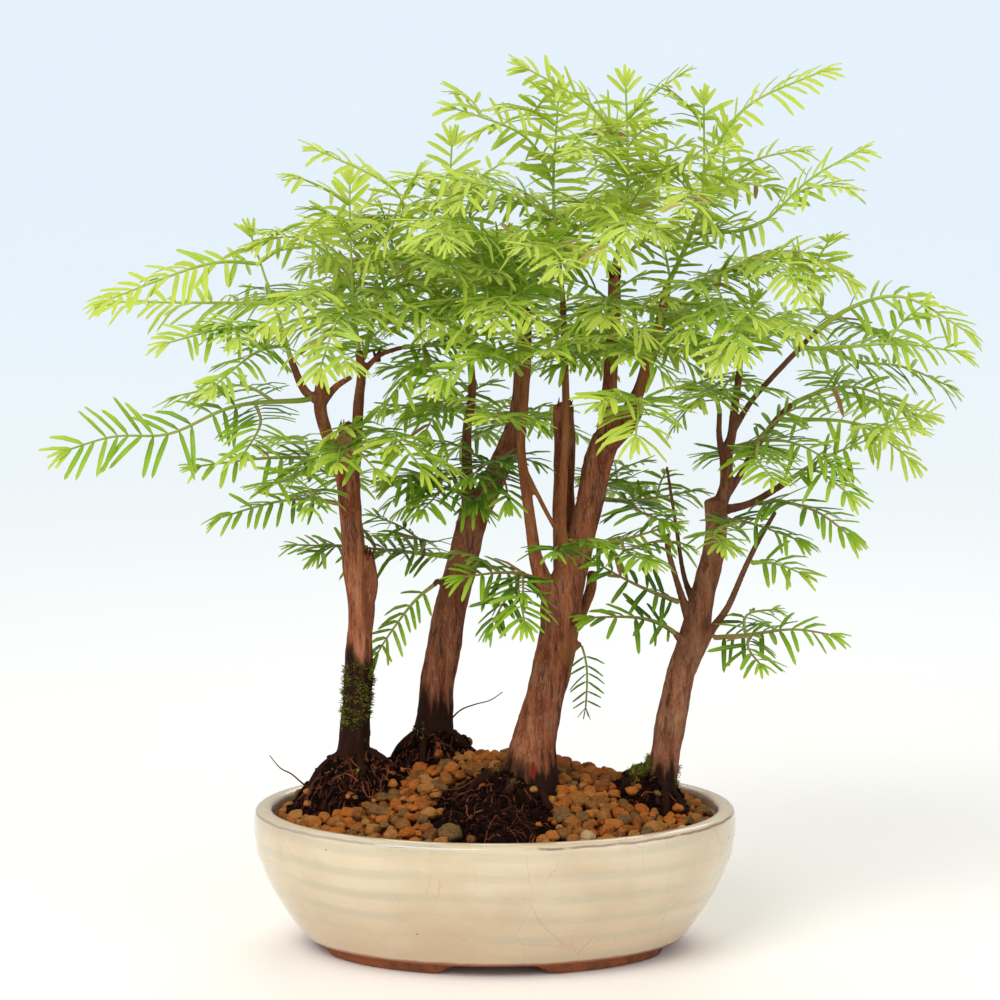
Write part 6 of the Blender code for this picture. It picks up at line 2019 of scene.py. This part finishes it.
def shoot_finish(groups):
    """The skin of green shoots, browner where they are older and where shade is painted deep in the crown."""
    finish = Finish("green_shoots", roughness=0.55, specular=0.35)
    place = finish.place()
    patches = finish.mask(groups["mottle"], place, size=12.0, low=0.40, high=0.62)
    young = finish.mix(patches, *SHOOT_YOUNG)
    old = finish.mix(patches, *SHOOT_OLD)
    finish.feed("Base Color", finish.mix(finish.between(finish.trait("youth"), 0.15, 0.55), old, young))
    finish.feed("Normal", finish.bump(finish.noise(place, 1.6, 3.0), 0.1))
    return finish.material


def screen_finish(groups):
    """Black moulded plastic, dusty from the soil."""
    finish = Finish("screen_plastic", roughness=0.55)
    place = finish.place()
    dust = finish.mask(groups["mottle"], place, size=3.0, low=0.45, high=0.7)
    finish.feed("Base Color", finish.mix(finish.maths("MULTIPLY", dust, 0.6), SCREEN_BLACK, SCREEN_DUST))
    finish.feed("Normal", finish.bump(finish.noise(place, 1.8, 2.0), 0.05))
    return finish.material


# Studio


HORIZON_BLUE = (0.79, 0.885, 0.975)
AIR_LIGHT = 0.52
AIR_SHADE = (1.0, 0.985, 0.96)
FLOOR_FADE = 0.45
HORIZON_FADE = 9.0
MIDDLE_WHITE = (0.92, 0.985, 1.0)
FLOOR_WHITE = (0.97, 0.95, 0.92)
BLACK = (0.0, 0.0, 0.0)
FLOOR_RADIUS = 60.0
FLOOR_HEIGHT = -0.0003


def make_floor():
    """A plain pale floor that fades to the colour of the air behind."""
    work = bmesh.new()
    bmesh.ops.create_circle(work, cap_ends=True, segments=96, radius=FLOOR_RADIUS)
    mesh = bpy.data.meshes.new("studio_floor")
    work.to_mesh(mesh)
    work.free()
    floor = bpy.data.objects.new("studio_floor", mesh)
    floor.location = (0.0, 0.0, FLOOR_HEIGHT)
    bpy.context.scene.collection.objects.link(floor)
    finish = Finish("pale_floor", roughness=0.9, specular=0.0)
    away = finish.vectors("LENGTH", finish.node("ShaderNodeTexCoord").outputs["Object"])
    squared = finish.maths("POWER", away, 2.0)
    far = finish.maths("DIVIDE", squared, finish.maths("ADD", squared, FLOOR_FADE))
    finish.feed("Base Color", finish.mix(far, FLOOR_WHITE, BLACK))
    farther = finish.maths("DIVIDE", squared, finish.maths("ADD", squared, HORIZON_FADE))
    air = finish.mix(farther, MIDDLE_WHITE, HORIZON_BLUE)
    finish.feed("Emission Color", finish.mix(far, BLACK, air))
    finish.feed("Emission Strength", 1.0)
    mesh.materials.append(finish.material)


def make_air():
    """Soft even light from all round, pale blue."""
    world = bpy.data.worlds.new("studio_air")
    world.use_nodes = True
    bench = Bench(world.node_tree)
    background = world.node_tree.nodes["Background"]
    seen = bench.node("ShaderNodeLightPath").outputs["Is Camera Ray"]
    bench.plug(background.inputs["Color"], bench.mix(seen, AIR_SHADE, HORIZON_BLUE))
    bench.plug(background.inputs["Strength"], bench.between(seen, 0.0, 1.0, AIR_LIGHT, 1.0))
    bpy.context.scene.world = world


LAMPS = (
    ("key_softbox", (-0.75, -1.15, 1.25), 1.1, 21.5, (1.0, 0.97, 0.93)),
    ("fill_softbox", (1.1, -0.9, 0.7), 1.2, 5.8, (0.96, 0.98, 1.0)),
    ("back_softbox", (0.2, 1.0, 1.3), 1.2, 9.5, (1.0, 1.0, 0.97)),
)


def make_lamps():
    """Large soft boxes round the forest."""
    for name, place, size, power, colour in LAMPS:
        lamp = bpy.data.lights.new(name, "AREA")
        lamp.shape = "SQUARE"
        lamp.size = size
        lamp.energy = power
        lamp.color = colour
        box = bpy.data.objects.new(name, lamp)
        box.location = place
        aim = Vector((0.0, 0.0, 0.16)) - Vector(place)
        box.rotation_euler = aim.to_track_quat("-Z", "Y").to_euler()
        bpy.context.scene.collection.objects.link(box)


def make_camera():
    """The camera where the photograph was taken from."""
    lens = bpy.data.cameras.new("photo_camera")
    lens.lens = CAMERA_LENS
    lens.sensor_width = CAMERA_SENSOR
    lens.clip_end = 200.0
    camera = bpy.data.objects.new("photo_camera", lens)
    pitch = math.radians(CAMERA_PITCH)
    back = Vector((0.0, -math.cos(pitch), math.sin(pitch)))
    camera.location = CAMERA_TARGET + back * CAMERA_DISTANCE
    camera.rotation_euler = (math.pi / 2 - pitch, 0.0, 0.0)
    bpy.context.scene.collection.objects.link(camera)
    bpy.context.scene.camera = camera
    bpy.context.scene.view_settings.view_transform = "Standard"


def main():
    """Dresses the forest."""
    make_camera()
    make_air()
    make_lamps()
    make_floor()
    groups = {
        "mottle": make_mottle(), "strips": make_strips(), "specks": make_specks(),
        "band": make_height_band(),
    }
    soil = soil_finish(groups)
    make_tray(glaze_finish(groups), clay_finish(groups))
    make_soil(soil)
    make_gravel(grain_finish(groups))
    make_crumbs(soil)
    barks = {tree: make_bark(tree, bark_finish(tree, groups)) for tree in TREES}
    make_rootlets(rootlet_finish(groups))
    make_moss(barks, moss_finish(groups))
    make_foliage(needle_finish(groups), shoot_finish(groups))
    plastic = screen_finish(groups)
    for name in ("drain_screen_left", "drain_screen_right"):
        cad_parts[name].data.materials.clear()
        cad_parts[name].data.materials.append(plastic)


main()
